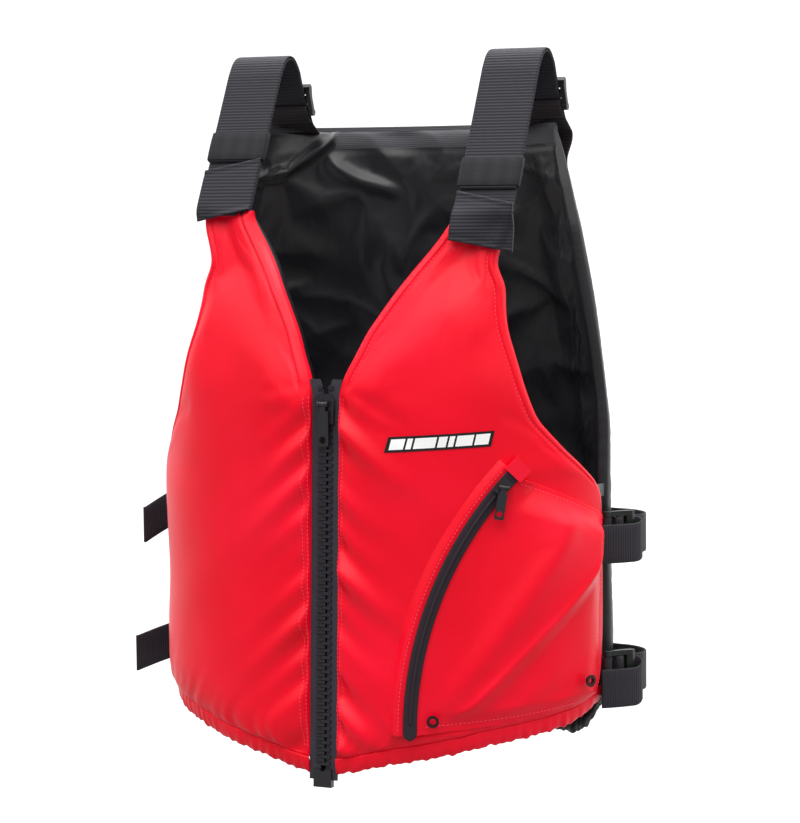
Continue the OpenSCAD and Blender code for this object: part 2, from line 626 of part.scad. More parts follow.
// Webbing loop round the anchor bar, sewn down the outside of the back panel
module shoulder_tab(side) {
  us = [for (i = [0 : 6]) mix(-1, 1, i / 6)];
  vs = [for (i = [0 : 14]) i / 14];
  z_low = back_top - 62;
  s = function(d) [for (u = us) [for (v = vs) let (
      z = mix(z_low, back_top + 4, v),
      x = strap_x + u * strap_w / 2,
      zf = min(z, back_top),
      p = asin(min(0.97, x / (back_a(zf) + back_puff))),
      h = back_hi(min(p, back_edge(zf)), zf),
      f = [x, oval_y(back_a(zf) + h, back_b(zf) + h, x) + web_t + 0.4, z],
      g = [x, mix(anchor_y + 7, anchor_y + 3.5, clamp01((z - back_top) / 12)), z],
      q = mix(f, g, smooth((z - back_top + 9) / 11)))
    q + [0, d, 0]]];
  t = web_t;
  wearer(side) slab(s(-t), s(t));
  at_shoulder(side) translate([0, 0, -strap_w / 2]) linear_extrude(strap_w)
    strip(concat([[-11.5, 3.4], [-6, 2.2], [-4, 2.4]],
      arc([0, 0], loop_r, 128, -128, 20), [[-5, -1.4], [-7, 0.6], [-12, 1.9]]), web_t);
}
// Folded webbing sewn over the strap's foot and the panel's top edge
module strap_anchor(side) {
  us = [for (i = [0 : 6]) mix(-1, 1, i / 6)];
  vs = [for (i = [0 : 8]) i / 8];
  z1 = anchor_top0 - drop(side);
  z0 = front_top - 2 - drop(side) * 0.85;
  s = function(d) [for (u = us) [for (v = vs) let (
      z = mix(z0, z1, v) - u * 5,
      x = strap_x + u * strap_w / 2,
      zc = min(z, front_top),
      p = asin(x / body_half_w),
      h = front_hi(min(p, phi_out(zc)), zc),
      f = [x, 0.2 - oval_y(body_half_w + h, front_b(zc) + h, x), z],
      g = [x, on_strap(max(z, strap_foot[1]))[0] - 1.2, z],
      q = mix(f, g, smooth((z - front_top + 4) / 22)))
    q + [0, -d, 0]]];
  wearer(side) slab(s(2 * web_t), s(0));
}
// Keeper: a sleeve round both webbing layers that slides along them
keeper_play = 0.4;
module strap_keeper(side) {
  w = strap_w + 2 * keeper_play;
  h = web_t + layer + 2 * keeper_play;
  c = on_strap(keeper_z0 - drop(side));
  wearer(side) translate([strap_x, c[0], c[1]])
    rotate([atan2(strap_dir[1], strap_dir[0]) - 90, 0, 0]) translate([0, -layer / 2, 0])
    difference() {
      cube([w + 2.4, h + 2.4, keeper_len], center = true);
      cube([w, h, keeper_len + 2], center = true);
    }
}

// ---- side straps, drawn in plan and extruded upwards ----
side_a = [body_half_w + 9, -3];
side_turn = 52;
sd_l = [cos(side_turn), sin(side_turn)];
sd_n = [sin(side_turn), -cos(side_turn)];
function sd_pt(l, n) = side_a + sd_l * l + sd_n * n;
module at_side(side, z) {
  wearer(side) translate([side_a[0], side_a[1], z]) rotate([0, 0, side_turn])
    mirror([0, 1, 0]) children();
}
module side_buckle(side, z) {
  at_side(side, z) ladder_lock(side_w);
}
// Loose tails: long ones stand out from the wearer's right side
side_tail_short = [[thread_end, lay_out], [thread_end + 5, lay_out + 1.6],
  [thread_end + 11, lay_out + 1.2], [thread_end + 16, lay_out - 2.4]];
side_tail_long = [[thread_end, lay_out], [thread_end + 3, lay_out + 1.6],
  [thread_end + 5, lay_out + 7], [thread_end + 4, lay_out + 17],
  [thread_end + 1, lay_out + 30]];
module side_thread(side, z) {
  at_side(side, z) thread(side_w, bend(side > 0 ? side_tail_short : side_tail_long, 2));
}
function back_xy(phi, z, d) = let (q = back_pt(phi, z)
  + back_n(phi, z) * (seam_t / 2 + back_puff + d)) [q[0], q[1]];
module side_strap(side, z) {
  p = bend([sd_pt(strap_end, lay_in), sd_pt(strap_end + 8, lay_in),
    [body_half_w + 27, 46], [body_half_w + 10, 60], back_xy(62, z, 5), back_xy(56, z, 1.6),
    back_xy(51, z, 1.5), back_xy(46, z, 1.4), back_xy(41, z, 1.4), back_xy(37, z, 1.4)], 2);
  wearer(side) translate([0, 0, z - side_w / 2]) linear_extrude(side_w) strip(p, web_t);
}
module side_tabs(side) {
  for (z = [side_lo, side_hi]) at_side(side, z) translate([0, 0, -side_w / 2])
    linear_extrude(side_w) strip(concat([[-4.7, -10.5], [-4.5, -6.5], [-4, -3.4]],
      arc([0, 0], loop_r, 196, -30, 18), [[0.9, -4.6], [-2.4, -7.2], [-2.8, -10.5]]), web_t);
}

// ---- one node at a time ----
red = "#e8132d";
black = "#2b2a30";
web = "#3c3a45";
plastic = "#26272b";
foam = "#e9e6dc";
color(red) front_cover(1);  // front_cover_left
color(red) front_cover(-1);  // front_cover_right
color(foam) front_foam(1);  // front_foam_left
color(foam) front_foam(-1);  // front_foam_right
color(black) back_cover();
color(foam) back_foam();
color(black) side_panel(1);  // side_panel_left
color(black) side_panel(-1);  // side_panel_right
color(web) side_binding(1);  // side_binding_left
color(web) side_binding(-1);  // side_binding_right
color(web) back_binding();
color(red) front_hem(1);  // front_hem_left
color(red) front_hem(-1);  // front_hem_right
color(black) back_hem();
color(black) zip_tape(1);  // zip_tape_left
color(black) zip_tape(-1);  // zip_tape_right
color(plastic) zip_teeth(1);  // zip_teeth_left
color(plastic) zip_teeth(-1);  // zip_teeth_right
color(plastic) zip_box();
color(plastic) zip_stops();
color(plastic) zip_slider();
color(plastic) zip_pull();
color(red) pocket_panel();
color(black) pocket_tape();
color(plastic) pocket_coil();
color(red) pocket_garage();
color(plastic) pocket_slider();
color(plastic) pocket_pull();
color(plastic) eyelet(eyelets[0]);  // eyelet_front
color(plastic) eyelet(eyelets[1]);  // eyelet_side
color("#f2f2f2") label_patch();
color(web) shoulder_strap(1);  // shoulder_strap_left
color(web) shoulder_strap(-1);  // shoulder_strap_right
color(web) shoulder_tail(1);  // shoulder_tail_left
color(web) shoulder_tail(-1);  // shoulder_tail_right
color(web) shoulder_thread(1);  // shoulder_thread_left
color(web) shoulder_thread(-1);  // shoulder_thread_right
color(web) strap_anchor(1);  // strap_anchor_left
color(web) strap_anchor(-1);  // strap_anchor_right
color(black) strap_keeper(1);  // strap_keeper_left
color(black) strap_keeper(-1);  // strap_keeper_right
color(plastic) shoulder_buckle(1);  // shoulder_buckle_left
color(plastic) shoulder_buckle(-1);  // shoulder_buckle_right
color(web) shoulder_tab(1);  // shoulder_tab_left
color(web) shoulder_tab(-1);  // shoulder_tab_right
color(web) side_tabs(1);  // side_tabs_left
color(web) side_tabs(-1);  // side_tabs_right
color(web) side_strap(1, side_hi);  // side_strap_left_upper
color(web) side_strap(1, side_lo);  // side_strap_left_lower
color(web) side_strap(-1, side_hi);  // side_strap_right_upper
color(web) side_strap(-1, side_lo);  // side_strap_right_lower
color(web) side_thread(1, side_hi);  // side_thread_left_upper
color(web) side_thread(1, side_lo);  // side_thread_left_lower
color(web) side_thread(-1, side_hi);  // side_thread_right_upper
color(web) side_thread(-1, side_lo);  // side_thread_right_lower
color(plastic) side_buckle(1, side_hi);  // side_buckle_left_upper
color(plastic) side_buckle(1, side_lo);  // side_buckle_left_lower
color(plastic) side_buckle(-1, side_hi);  // side_buckle_right_upper
color(plastic) side_buckle(-1, side_lo);  // side_buckle_right_lower
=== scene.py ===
import math
import bpy
import numpy as np
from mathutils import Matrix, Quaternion, Vector


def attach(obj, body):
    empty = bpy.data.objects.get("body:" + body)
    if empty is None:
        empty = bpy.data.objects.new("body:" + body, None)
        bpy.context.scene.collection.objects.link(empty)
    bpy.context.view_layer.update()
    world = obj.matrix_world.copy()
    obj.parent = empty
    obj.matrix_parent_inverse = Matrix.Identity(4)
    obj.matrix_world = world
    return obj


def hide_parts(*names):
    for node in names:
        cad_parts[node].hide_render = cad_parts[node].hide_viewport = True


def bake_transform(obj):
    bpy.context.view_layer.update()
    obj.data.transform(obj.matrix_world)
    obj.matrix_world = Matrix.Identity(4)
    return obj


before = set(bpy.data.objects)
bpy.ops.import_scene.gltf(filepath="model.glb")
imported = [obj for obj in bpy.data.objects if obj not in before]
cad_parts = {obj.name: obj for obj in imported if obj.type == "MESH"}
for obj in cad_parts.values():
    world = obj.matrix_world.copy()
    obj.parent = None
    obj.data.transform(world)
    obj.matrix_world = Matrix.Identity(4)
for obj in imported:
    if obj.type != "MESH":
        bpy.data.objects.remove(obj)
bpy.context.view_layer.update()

# ---- Red front panels ------------------------------------------------------
# Two foam pads sewn into nylon taffeta covers, red outside and black inside.
# The cover is stitched flat round its edge, so it puffs up between the seams,
# puckers along the zip and is gathered where it meets the elastic hem.
HALF_W, FRONT_D, ZIP_LEAN, CHEST_FALL = 190.0, 132.0, 14.0, 32.0
ZIP_TOP, FRONT_TOP, ARM_LOW, ZIP_GAP = 317.0, 462.0, 232.0, 12.0
SEAM, EDGE_ROUND, HEM_H = 3.0, 28.0, 12.0
FRONT_SIDE = 88.0


def rise(t):
    """Smooth step: 3k^2 - 2k^3 of t held between 0 and 1."""
    k = np.clip(t, 0, 1)
    return k * k * (3 - 2 * k)


def puff(d, r):
    """Quarter-round rise from 0 at a seam to 1 at distance r from it."""
    s = np.clip(d / r, 0, 1)
    return np.sqrt(np.maximum(0, 1 - (1 - s) ** 2))


def front_b(z):
    """Depth of the front form: leans back with the zip, then falls back at the chest."""
    return FRONT_D - ZIP_LEAN * z / ZIP_TOP - CHEST_FALL * rise((z - ZIP_TOP + 17) / 160)


def soft_line(points, blur):
    """Line through (height, value) points, sampled every mm and blurred over blur mm."""
    x, y = np.array(points, float).T
    h = np.arange(x[0] - 60, x[-1] + 61)
    dense = np.interp(h, x, y)
    k = np.exp(-0.5 * (np.arange(-30, 31) / blur) ** 2)
    wide = np.convolve(np.pad(dense, 30, mode="edge"), k / k.sum(), mode="valid")
    return lambda q: np.interp(q, h, wide)


NECK = [(0, 0.0), (0.1, 4), (0.17, 9), (0.34, 19), (0.52, 34), (0.7, 50), (0.87, 67), (1, 79)]
neck_x = soft_line([(ZIP_TOP + 138 * t, ZIP_GAP + x) for t, x in NECK], 4)
ARM = [(0, 88), (0.1, 75.7), (0.16, 68.2), (0.27, 58), (0.38, 54), (0.49, 50.7), (0.6, 47.2),
       (0.68, 46), (0.76, 45.6), (0.83, 42.2), (0.9, 43.8), (0.96, 46), (1, 46.7)]
arm_phi = soft_line([(ARM_LOW + 223 * t, a) for t, a in ARM], 5)
hem_z = soft_line([(0, 4), (7, 7), (15, 14), (31, 23), (43, 31), (72, 43), (90, 57)], 2)


def phi_in(z):
    """Angle of the panel's zip edge, or of its neck edge above the zip."""
    return np.degrees(np.arcsin(neck_x(z) / HALF_W))


def phi_out(z):
    """Angle of the panel's side edge, or of its armhole edge above the side panel."""
    return np.minimum(arm_phi(z), FRONT_SIDE)


def front_frame(phi, z):
    """Point and outward normal of an upright ellipse of half width HALF_W and depth front_b,
    drawn flatter towards the shoulder, where the webbing is sewn on."""
    p, b = np.radians(phi), front_b(z)
    y = -b * np.cos(p)
    y = y + 0.6 * rise((z - 392) / 52) * (-b * 0.784 - y)
    point = np.stack([HALF_W * np.sin(p), y, z], -1)
    n = np.stack([b * np.sin(p), -HALF_W * np.cos(p), 0 * z], -1)
    return point, n / np.linalg.norm(n, axis=-1, keepdims=True)


def front_mm(phi, z):
    """Millimetres of cloth per degree round the form."""
    p = np.radians(phi)
    return np.pi / 180 * np.hypot(HALF_W * np.cos(p), front_b(z) * np.sin(p))


def front_edges(phi, z):
    """Distances in mm from the zip or neck edge, the side or armhole edge, the hem and the top."""
    mm = front_mm(phi, z)
    return ((phi - phi_in(z)) * mm, (phi_out(z) - phi) * mm, z - hem_z(phi) - HEM_H,
            FRONT_TOP - z)


def front_hi(phi, z, out=10.0):
    """Height of the padded cover over its seams: two quarter-rounds multiplied."""
    a, b, c, d = front_edges(phi, z)
    return SEAM / 2 + out * puff(np.minimum(a, b), EDGE_ROUND) * puff(
        np.minimum(c, d * 0.6), EDGE_ROUND)


def waves(s, seed, lengths):
    """Sum of sines of the given wavelengths with seeded phases, scaled to about 1."""
    ph = np.random.default_rng(seed).uniform(0, 6.28, len(lengths))
    return sum(np.sin(2 * np.pi * s / w + p) for w, p in zip(lengths, ph)) / len(lengths) ** 0.5


def lumps(s, t, seed, size, n=7):
    """Soft random relief: plane waves near one wavelength in seeded directions."""
    r = np.random.default_rng(seed)
    a, w, ph = r.uniform(0, np.pi, n), size * r.uniform(0.7, 1.5, n), r.uniform(0, 6.28, n)
    k = 2 * np.pi / w
    return sum(np.sin(k[i] * (s * np.cos(a[i]) + t * np.sin(a[i])) + ph[i])
               for i in range(n)) / n ** 0.5


def mesh_piece(name, co, faces, uv=None, materials=(), face_mat=None, smooth=True):
    """Mesh object at the origin from points in mm and quads; uv is one pair per point."""
    me = bpy.data.meshes.new(name)
    me.from_pydata((np.asarray(co, float) * 0.001).tolist(), [], np.asarray(faces).tolist())
    me.validate()
    if uv is not None:
        loops = np.zeros(len(me.loops), np.int64)
        me.loops.foreach_get("vertex_index", loops)
        layer = me.uv_layers.new(name="cloth")
        layer.data.foreach_set("uv", np.asarray(uv, float)[loops].ravel())
    for m in materials:
        me.materials.append(m)
    if face_mat is not None:
        me.polygons.foreach_set("material_index", np.asarray(face_mat, np.int32))
    me.polygons.foreach_set("use_smooth", np.full(len(me.polygons), smooth))
    me.update()
    ob = bpy.data.objects.new(name, me)
    bpy.context.scene.collection.objects.link(ob)
    return ob


def grid_quads(nu, nv, start=0, flip=False):
    """Quads of a nu by nv grid of points, facing u cross v, or the other way if flip."""
    i, j = np.meshgrid(np.arange(nu - 1), np.arange(nv - 1), indexing="ij")
    a = (i * nv + j).ravel() + start
    q = np.stack([a, a + nv, a + nv + 1, a + 1], -1)
    return q[:, ::-1] if flip else q


def shell_quads(nu, nv, flip=False):
    """Closed shell from two grids, high then low: both sheets and the rim between them."""
    n = nu * nv
    idx = np.arange(n).reshape(nu, nv)
    ring = np.concatenate([idx[:-1, 0], idx[-1, :-1], idx[:0:-1, -1], idx[0, :0:-1]])
    nxt = np.roll(ring, -1)
    rim = np.stack([nxt, ring, ring + n, nxt + n], -1)
    rim = rim[:, ::-1] if flip else rim
    return np.concatenate([grid_quads(nu, nv, 0, flip), grid_quads(nu, nv, n, not flip), rim])


def denser(n, power=1.35):
    """n values from 0 to 1, closer together near both ends."""
    t = np.linspace(-1, 1, n)
    return 0.5 + 0.5 * np.sign(t) * (1 - (1 - np.abs(t)) ** power)


def linear(code):
    """sRGB hex colour to linear RGBA."""
    c = np.array([int(code[i:i + 2], 16) for i in (1, 3, 5)]) / 255
    c = np.where(c <= 0.04045, c / 12.92, ((c + 0.055) / 1.055) ** 2.4)
    return (*c.tolist(), 1.0)


def add(tree, kind, props=None, ins=None):
    """Adds a shader node, sets its properties, and sets or links its inputs."""
    n = tree.nodes.new("ShaderNode" + kind)
    for k, v in (props or {}).items():
        setattr(n, k, v)
    for k, v in (ins or {}).items():
        if isinstance(v, bpy.types.NodeSocket):
            tree.links.new(v, n.inputs[k])
        else:
            n.inputs[k].default_value = v
    return n


def finish_named(name, rough, base=None, **fixed):
    """New material: its node tree and its shader, with fixed numbers set on the shader."""
    m = bpy.data.materials.new(name)
    m.use_nodes = True
    t = m.node_tree
    s = t.nodes["Principled BSDF"]
    s.inputs["Roughness"].default_value = rough
    if base:
        s.inputs["Base Color"].default_value = linear(base)
    for k, v in fixed.items():
        s.inputs[k.replace("_", " ")].default_value = v
    return m, t, s


def woven(name, deep, mid, lit, thread, rough, sheen=0.25, crease=0.5, shine=0.3):
    """Plain-woven cloth: crossed threads and soft handling creases in the bump, and a
    slow drift between three tones. thread is the drawn thread spacing in mm."""
    m, t, s = finish_named(name, rough, Sheen_Weight=sheen, Sheen_Roughness=0.4,
                           Specular_IOR_Level=shine)
    uv = add(t, "UVMap", {"uv_map": "cloth"})
    pos = add(t, "TexCoord")
    k = 0.31416 / (thread * 0.001)
    warp = add(t, "TexWave", {"bands_direction": "X"}, {"Vector": uv.outputs[0], "Scale": k})
    weft = add(t, "TexWave", {"bands_direction": "Y"}, {"Vector": uv.outputs[0], "Scale": k})
    cross = add(t, "Math", {"operation": "MULTIPLY"}, {0: warp.outputs[1], 1: weft.outputs[1]})
    slow = add(t, "TexNoise", None, {"Vector": pos.outputs["Object"], "Scale": 9.0,
                                     "Detail": 3.0, "Roughness": 0.55})
    tone = add(t, "ValToRGB", None, {"Fac": slow.outputs[0]})
    r = tone.color_ramp
    r.elements[0].position, r.elements[0].color = 0.3, linear(deep)
    r.elements[1].position, r.elements[1].color = 0.72, linear(lit)
    e = r.elements.new(0.5)
    e.color = linear(mid)
    t.links.new(tone.outputs[0], s.inputs["Base Color"])
    fold = add(t, "TexNoise", None, {"Vector": pos.outputs["Object"], "Scale": 24.0,
                                     "Detail": 3.0, "Roughness": 0.5, "Distortion": 0.3})
    b1 = add(t, "Bump", None, {"Height": fold.outputs[0], "Strength": crease,
                               "Distance": 0.0016})
    b2 = add(t, "Bump", None, {"Height": cross.outputs[0], "Strength": 0.35,
                               "Distance": 0.00012, "Normal": b1.outputs[0]})
    t.links.new(b2.outputs[0], s.inputs["Normal"])
    return m


# Nylon taffeta, woven and lightly coated: saturated, with a satin glow where it turns.
# Its threads are 0.25 mm apart and are drawn at 0.8 mm so that they show.
red_taffeta = woven("red_taffeta", "#e2001e", "#ec0022", "#f4062c", 0.8, 0.38, 0.0, 0.1, 0.22)
# The same cloth dyed black, used for linings: nearly black, grey along its folds.
black_taffeta = woven("black_taffeta", "#0d0d11", "#111015", "#16151a", 0.8, 0.36, 0.0, 0.3, 0.5)


def swell(ob, held, press, frames, cap, loose=0.0):
    """Lets the cover swell as cloth under pressure with its seams held, moves no point
    further than cap mm from its pattern place, and leaves the result in the mesh."""
    me = ob.data
    n = len(me.vertices)
    start = np.zeros(n * 3, np.float32)
    me.vertices.foreach_get("co", start)
    g = ob.vertex_groups.new(name="held")
    for w in np.unique(np.round(held, 2)):
        if w > 0:
            g.add(np.nonzero(np.round(held, 2) == w)[0].tolist(), float(w), "REPLACE")
    c = ob.modifiers.new("swell", "CLOTH")
    st = c.settings
    st.quality = 5
    st.mass = 0.25
    st.tension_stiffness = st.compression_stiffness = 12
    st.shear_stiffness = 6
    st.bending_stiffness = 0.35
    st.use_pressure = True
    st.uniform_pressure_force = press
    st.shrink_min = -loose
    st.vertex_group_mass = "held"
    st.effector_weights.gravity = 0
    c.collision_settings.use_collision = False
    c.collision_settings.use_self_collision = False
    c.point_cache.frame_start, c.point_cache.frame_end = 1, frames
    sc = bpy.context.scene
    for f in range(1, frames + 1):
        sc.frame_set(f)
    dg = bpy.context.evaluated_depsgraph_get()
    out = np.zeros(n * 3, np.float32)
    ob.evaluated_get(dg).data.vertices.foreach_get("co", out)
    ob.modifiers.clear()
    sc.frame_set(1)
    a, b = start.reshape(-1, 3), out.reshape(-1, 3)
    move = np.nan_to_num(b - a)
    far = np.linalg.norm(move, axis=1, keepdims=True)
    lim = cap * 0.001
    move *= lim * np.tanh(far / lim) / np.maximum(far, 1e-9)
    me.vertices.foreach_set("co", (a + move).ravel())
    me.update()


def sheet_points(ob, nu, nv):
    """The high sheet's points in mm, as a grid."""
    co = np.zeros(len(ob.data.vertices) * 3, np.float32)
    ob.data.vertices.foreach_get("co", co)
    return co.reshape(-1, 3)[:nu * nv].reshape(nu, nv, 3).astype(float) * 1000


def smoother(ob, levels=1):
    m = ob.modifiers.new("smoother", "SUBSURF")
    m.levels = m.render_levels = levels


def zip_phi(z):
    """Angle of the pocket zip's arc at height z: a flat circle in a plane turned 30 degrees."""
    s = POCKET_X - POCKET_R * np.sqrt(np.maximum(0, 1 - ((z - POCKET_Z) / POCKET_R) ** 2))
    return plane_phi(s, z)


def plane_phi(s, z):
    """Angle on the form where a line s along the turned plane meets it."""
    ax, by = (HALF_W + 11.5) * COS30, (front_b(z) + 11.5) * 0.5
    return np.degrees(np.arctan2(by, ax) + np.arcsin(np.clip(s / np.hypot(ax, by), -1, 1)))


POCKET_R, POCKET_X, POCKET_Z, COS30 = 300.0, 300.5, 42.0, 3 ** 0.5 / 2


def settle(ob, nu, nv, p, n, phi, z, side):
    """Presses the left cover down under the pocket, and returns the high sheet's points."""
    g = sheet_points(ob, nu, nv)
    if side > 0:
        off = ((g - p) * n).sum(-1)
        under = rise((phi - zip_phi(z) + 5) / 5) * rise((z - 38) / 6) * rise((256 - z) / 14)
        g = g - n * (under * np.maximum(off - 7.5, 0))[..., None]
        co = np.zeros(len(ob.data.vertices) * 3, np.float32)
        ob.data.vertices.foreach_get("co", co)
        co[:nu * nv * 3] = (g * 0.001).ravel()
        ob.data.vertices.foreach_set("co", co)
        ob.data.update()
    return g


def front_panel(side):
    """Both sheets of one panel: the form offset outwards by the pad's height, with
    horizontal puckers dying away from the zip and gathers dying away from the hem."""
    nu, nv = 84, 132
    u, v = np.meshgrid(denser(nu), denser(nv, 1.2), indexing="ij")
    low = hem_z(phi_in(0) + (FRONT_SIDE - phi_in(0)) * u) + HEM_H
    z = low + (FRONT_TOP - low) * v
    phi = phi_in(z) + (phi_out(z) - phi_in(z)) * u
    p, n = front_frame(phi, z)
    a, b, c, d = front_edges(phi, z)
    arc = (phi - phi_in(z)) * front_mm(phi, z)
    seed = 11 if side > 0 else 23
    edge = rise(np.minimum(np.minimum(a, b), np.minimum(c, d)) / 5)
    zipped = rise((ZIP_TOP + 6 - z) / 20)
    pucker = 4.8 * waves(z + 0.9 * arc, seed, [29, 37, 64]) * np.exp(-a / 19) * zipped
    pucker += 1.6 * waves(z + 0.7 * arc, seed + 1, [58, 83]) * np.exp(-a / 48) * zipped
    gather = 1.7 * waves(arc + 6 * np.sin(z / 9), seed + 2, [12, 17, 26]) * np.exp(-c / 15) * (
        0.35 + 0.65 * rise((150 - arc) / 60))
    dents = 1.0 * lumps(arc, z, seed + 3, 130) + 0.25 * lumps(arc, z, seed + 4, 60)
    span = phi * front_mm(phi, z)
    bend_z = np.interp(span, [18, 25, 42, 53, 75, 89, 113], [313, 320, 330, 348, 368, 380, 384])
    shelf = -8.0 * rise((z - bend_z) / 38) + 1.8 * np.exp(-((z - bend_z + 12) / 15) ** 2)
    shelf *= rise((arc - 5) / 30) * rise((b - 4) / 25)
    hem_line = np.where(z > ZIP_TOP + 4, a, 99)
    facing = np.minimum(hem_line, np.where(z > ARM_LOW + 6, b, 99))
    groove = -1.5 * np.exp(-((facing - 9) / 1.7) ** 2) + 0.9 * rise((9 - facing) / 2)
    w = puff(np.minimum(a, b), EDGE_ROUND) * puff(np.minimum(c, d * 0.6), EDGE_ROUND)
    relief = edge * (pucker + gather + dents + shelf) + groove * rise((facing - 1) / 2)
    high = SEAM / 2 + 9.6 * w + relief
    high = np.maximum(high, SEAM / 2 - 0.2)
    inner = -SEAM / 2 - 21.5 * w + edge * (0.6 * lumps(arc, z, seed + 5, 60) - 0.6 * gather)
    co = np.concatenate([(p + n * high[..., None]).reshape(-1, 3),
                         (p + n * inner[..., None]).reshape(-1, 3)])
    co[:, 0] *= side
    uv = np.stack([arc, z], -1).reshape(-1, 2) * 0.001
    q = shell_quads(nu, nv, side < 0)
    face = np.zeros(len(q), int)
    face[(nu - 1) * (nv - 1):2 * (nu - 1) * (nv - 1)] = 1
    ob = mesh_piece("red_front_left" if side > 0 else "red_front_right", co, q,
                    np.concatenate([uv, uv]), [red_taffeta, black_taffeta], face)
    near = np.minimum(np.minimum(a, b), np.minimum(c, d))
    held = np.clip(1 - (near - 3) / 9, 0, 1)
    swell(ob, np.concatenate([held.ravel(), np.ones(nu * nv)]), 3.0, 10, 4.0, 0.0)
    grid = settle(ob, nu, nv, p * [side, 1, 1], n * [side, 1, 1], phi, z, side)
    smoother(ob)
    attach(ob, "vest")
    k = "left" if side > 0 else "right"
    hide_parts("front_cover_" + k, "front_foam_" + k)
    return ob, grid, u, v


panels = {s: front_panel(s) for s in (1, -1)}


def on_panel(side, phi, z, lift=0.0):
    """Points in mm on the finished cover at those angles and heights, raised along the
    form's outward normal; also returns that normal."""
    grid, u, v = panels[side][1:]
    a = (phi - phi_in(z)) / (phi_out(z) - phi_in(z))
    low = hem_z(phi_in(0) + (FRONT_SIDE - phi_in(0)) * a) + HEM_H
    b = (z - low) / (FRONT_TOP - low)
    i = np.clip(np.interp(a, u[:, 0], np.arange(len(u))), 0, len(u) - 1.001)
    j = np.clip(np.interp(b, v[0], np.arange(v.shape[1])), 0, v.shape[1] - 1.001)
    i0, j0 = i.astype(int), j.astype(int)
    fi, fj = (i - i0)[..., None], (j - j0)[..., None]
    q = ((grid[i0, j0] * (1 - fi) + grid[i0 + 1, j0] * fi) * (1 - fj)
         + (grid[i0, j0 + 1] * (1 - fi) + grid[i0 + 1, j0 + 1] * fi) * fj)
    n = front_frame(phi, z)[1] * [side, 1, 1]
    return q + n * lift, n

# ---- Back panel ------------------------------------------------------------
# One wide foam pad in a black nylon cover, stitched flat all round. Its lining
# is creased from folding, and a grey webbing band faces the neck inside.
BACK_D, BACK_TOP, TOP_HALF_W, BACK_SIDE = 104.0, 530.0, 160.0, 78.0
BACK_LINE = [(0, BACK_SIDE), (0.12, 75.5), (0.25, 73.5), (0.72, 72), (0.84, 67.5), (0.94, 62),
             (1, 58)]
back_edge = soft_line([(ARM_LOW + 298 * t, a) for t, a in BACK_LINE], 4)


def back_a(z):
    """Half width of the back form: a touch wider at the armhole, then drawn in to the top."""
    k = rise((z - ARM_LOW - 38) / 260)
    return (HALF_W + 2 * rise((z - ARM_LOW) / 60)) * (1 - k) + TOP_HALF_W * k


def back_b(z):
    return BACK_D - 16 * rise((z - 250) / 280)


def back_frame(phi, z):
    """Point and outward normal of an upright ellipse of half width back_a and depth back_b."""
    p, a, b = np.radians(phi), back_a(z), back_b(z)
    point = np.stack([a * np.sin(p), b * np.cos(p), z + 0 * p], -1)
    n = np.stack([b * np.sin(p), a * np.cos(p), 0 * p * z], -1)
    return point, n / np.linalg.norm(n, axis=-1, keepdims=True)


def back_mm(phi, z):
    p = np.radians(phi)
    return np.pi / 180 * np.hypot(back_a(z) * np.cos(p), back_b(z) * np.sin(p))


def back_hem_z(phi):
    return 10 + 45 * rise((np.abs(phi) - 46) / 34)


def back_hi(phi, z, out=11.0):
    """Height of the padded back over its seams, the same inside and outside."""
    du = (back_edge(z) - np.abs(phi)) * back_mm(phi, z)
    dv = np.minimum(z - back_hem_z(phi) - HEM_H, (BACK_TOP - z) * 0.7)
    return SEAM / 2 + out * puff(du, EDGE_ROUND) * puff(dv, EDGE_ROUND)


# Grey nylon binding, ribbed across: faces the neck and covers the raw edges.
grey_binding, gt, gs = finish_named("grey_binding", 0.72, base="#2d2b31", Sheen_Weight=0.3)
gu = add(gt, "TexCoord")
gw = add(gt, "TexWave", {"bands_direction": "Z"}, {"Vector": gu.outputs["Object"],
                                                  "Scale": 0.31416 / 0.0016})
gb = add(gt, "Bump", None, {"Height": gw.outputs[1], "Strength": 0.5, "Distance": 0.0002})
gt.links.new(gb.outputs[0], gs.inputs["Normal"])


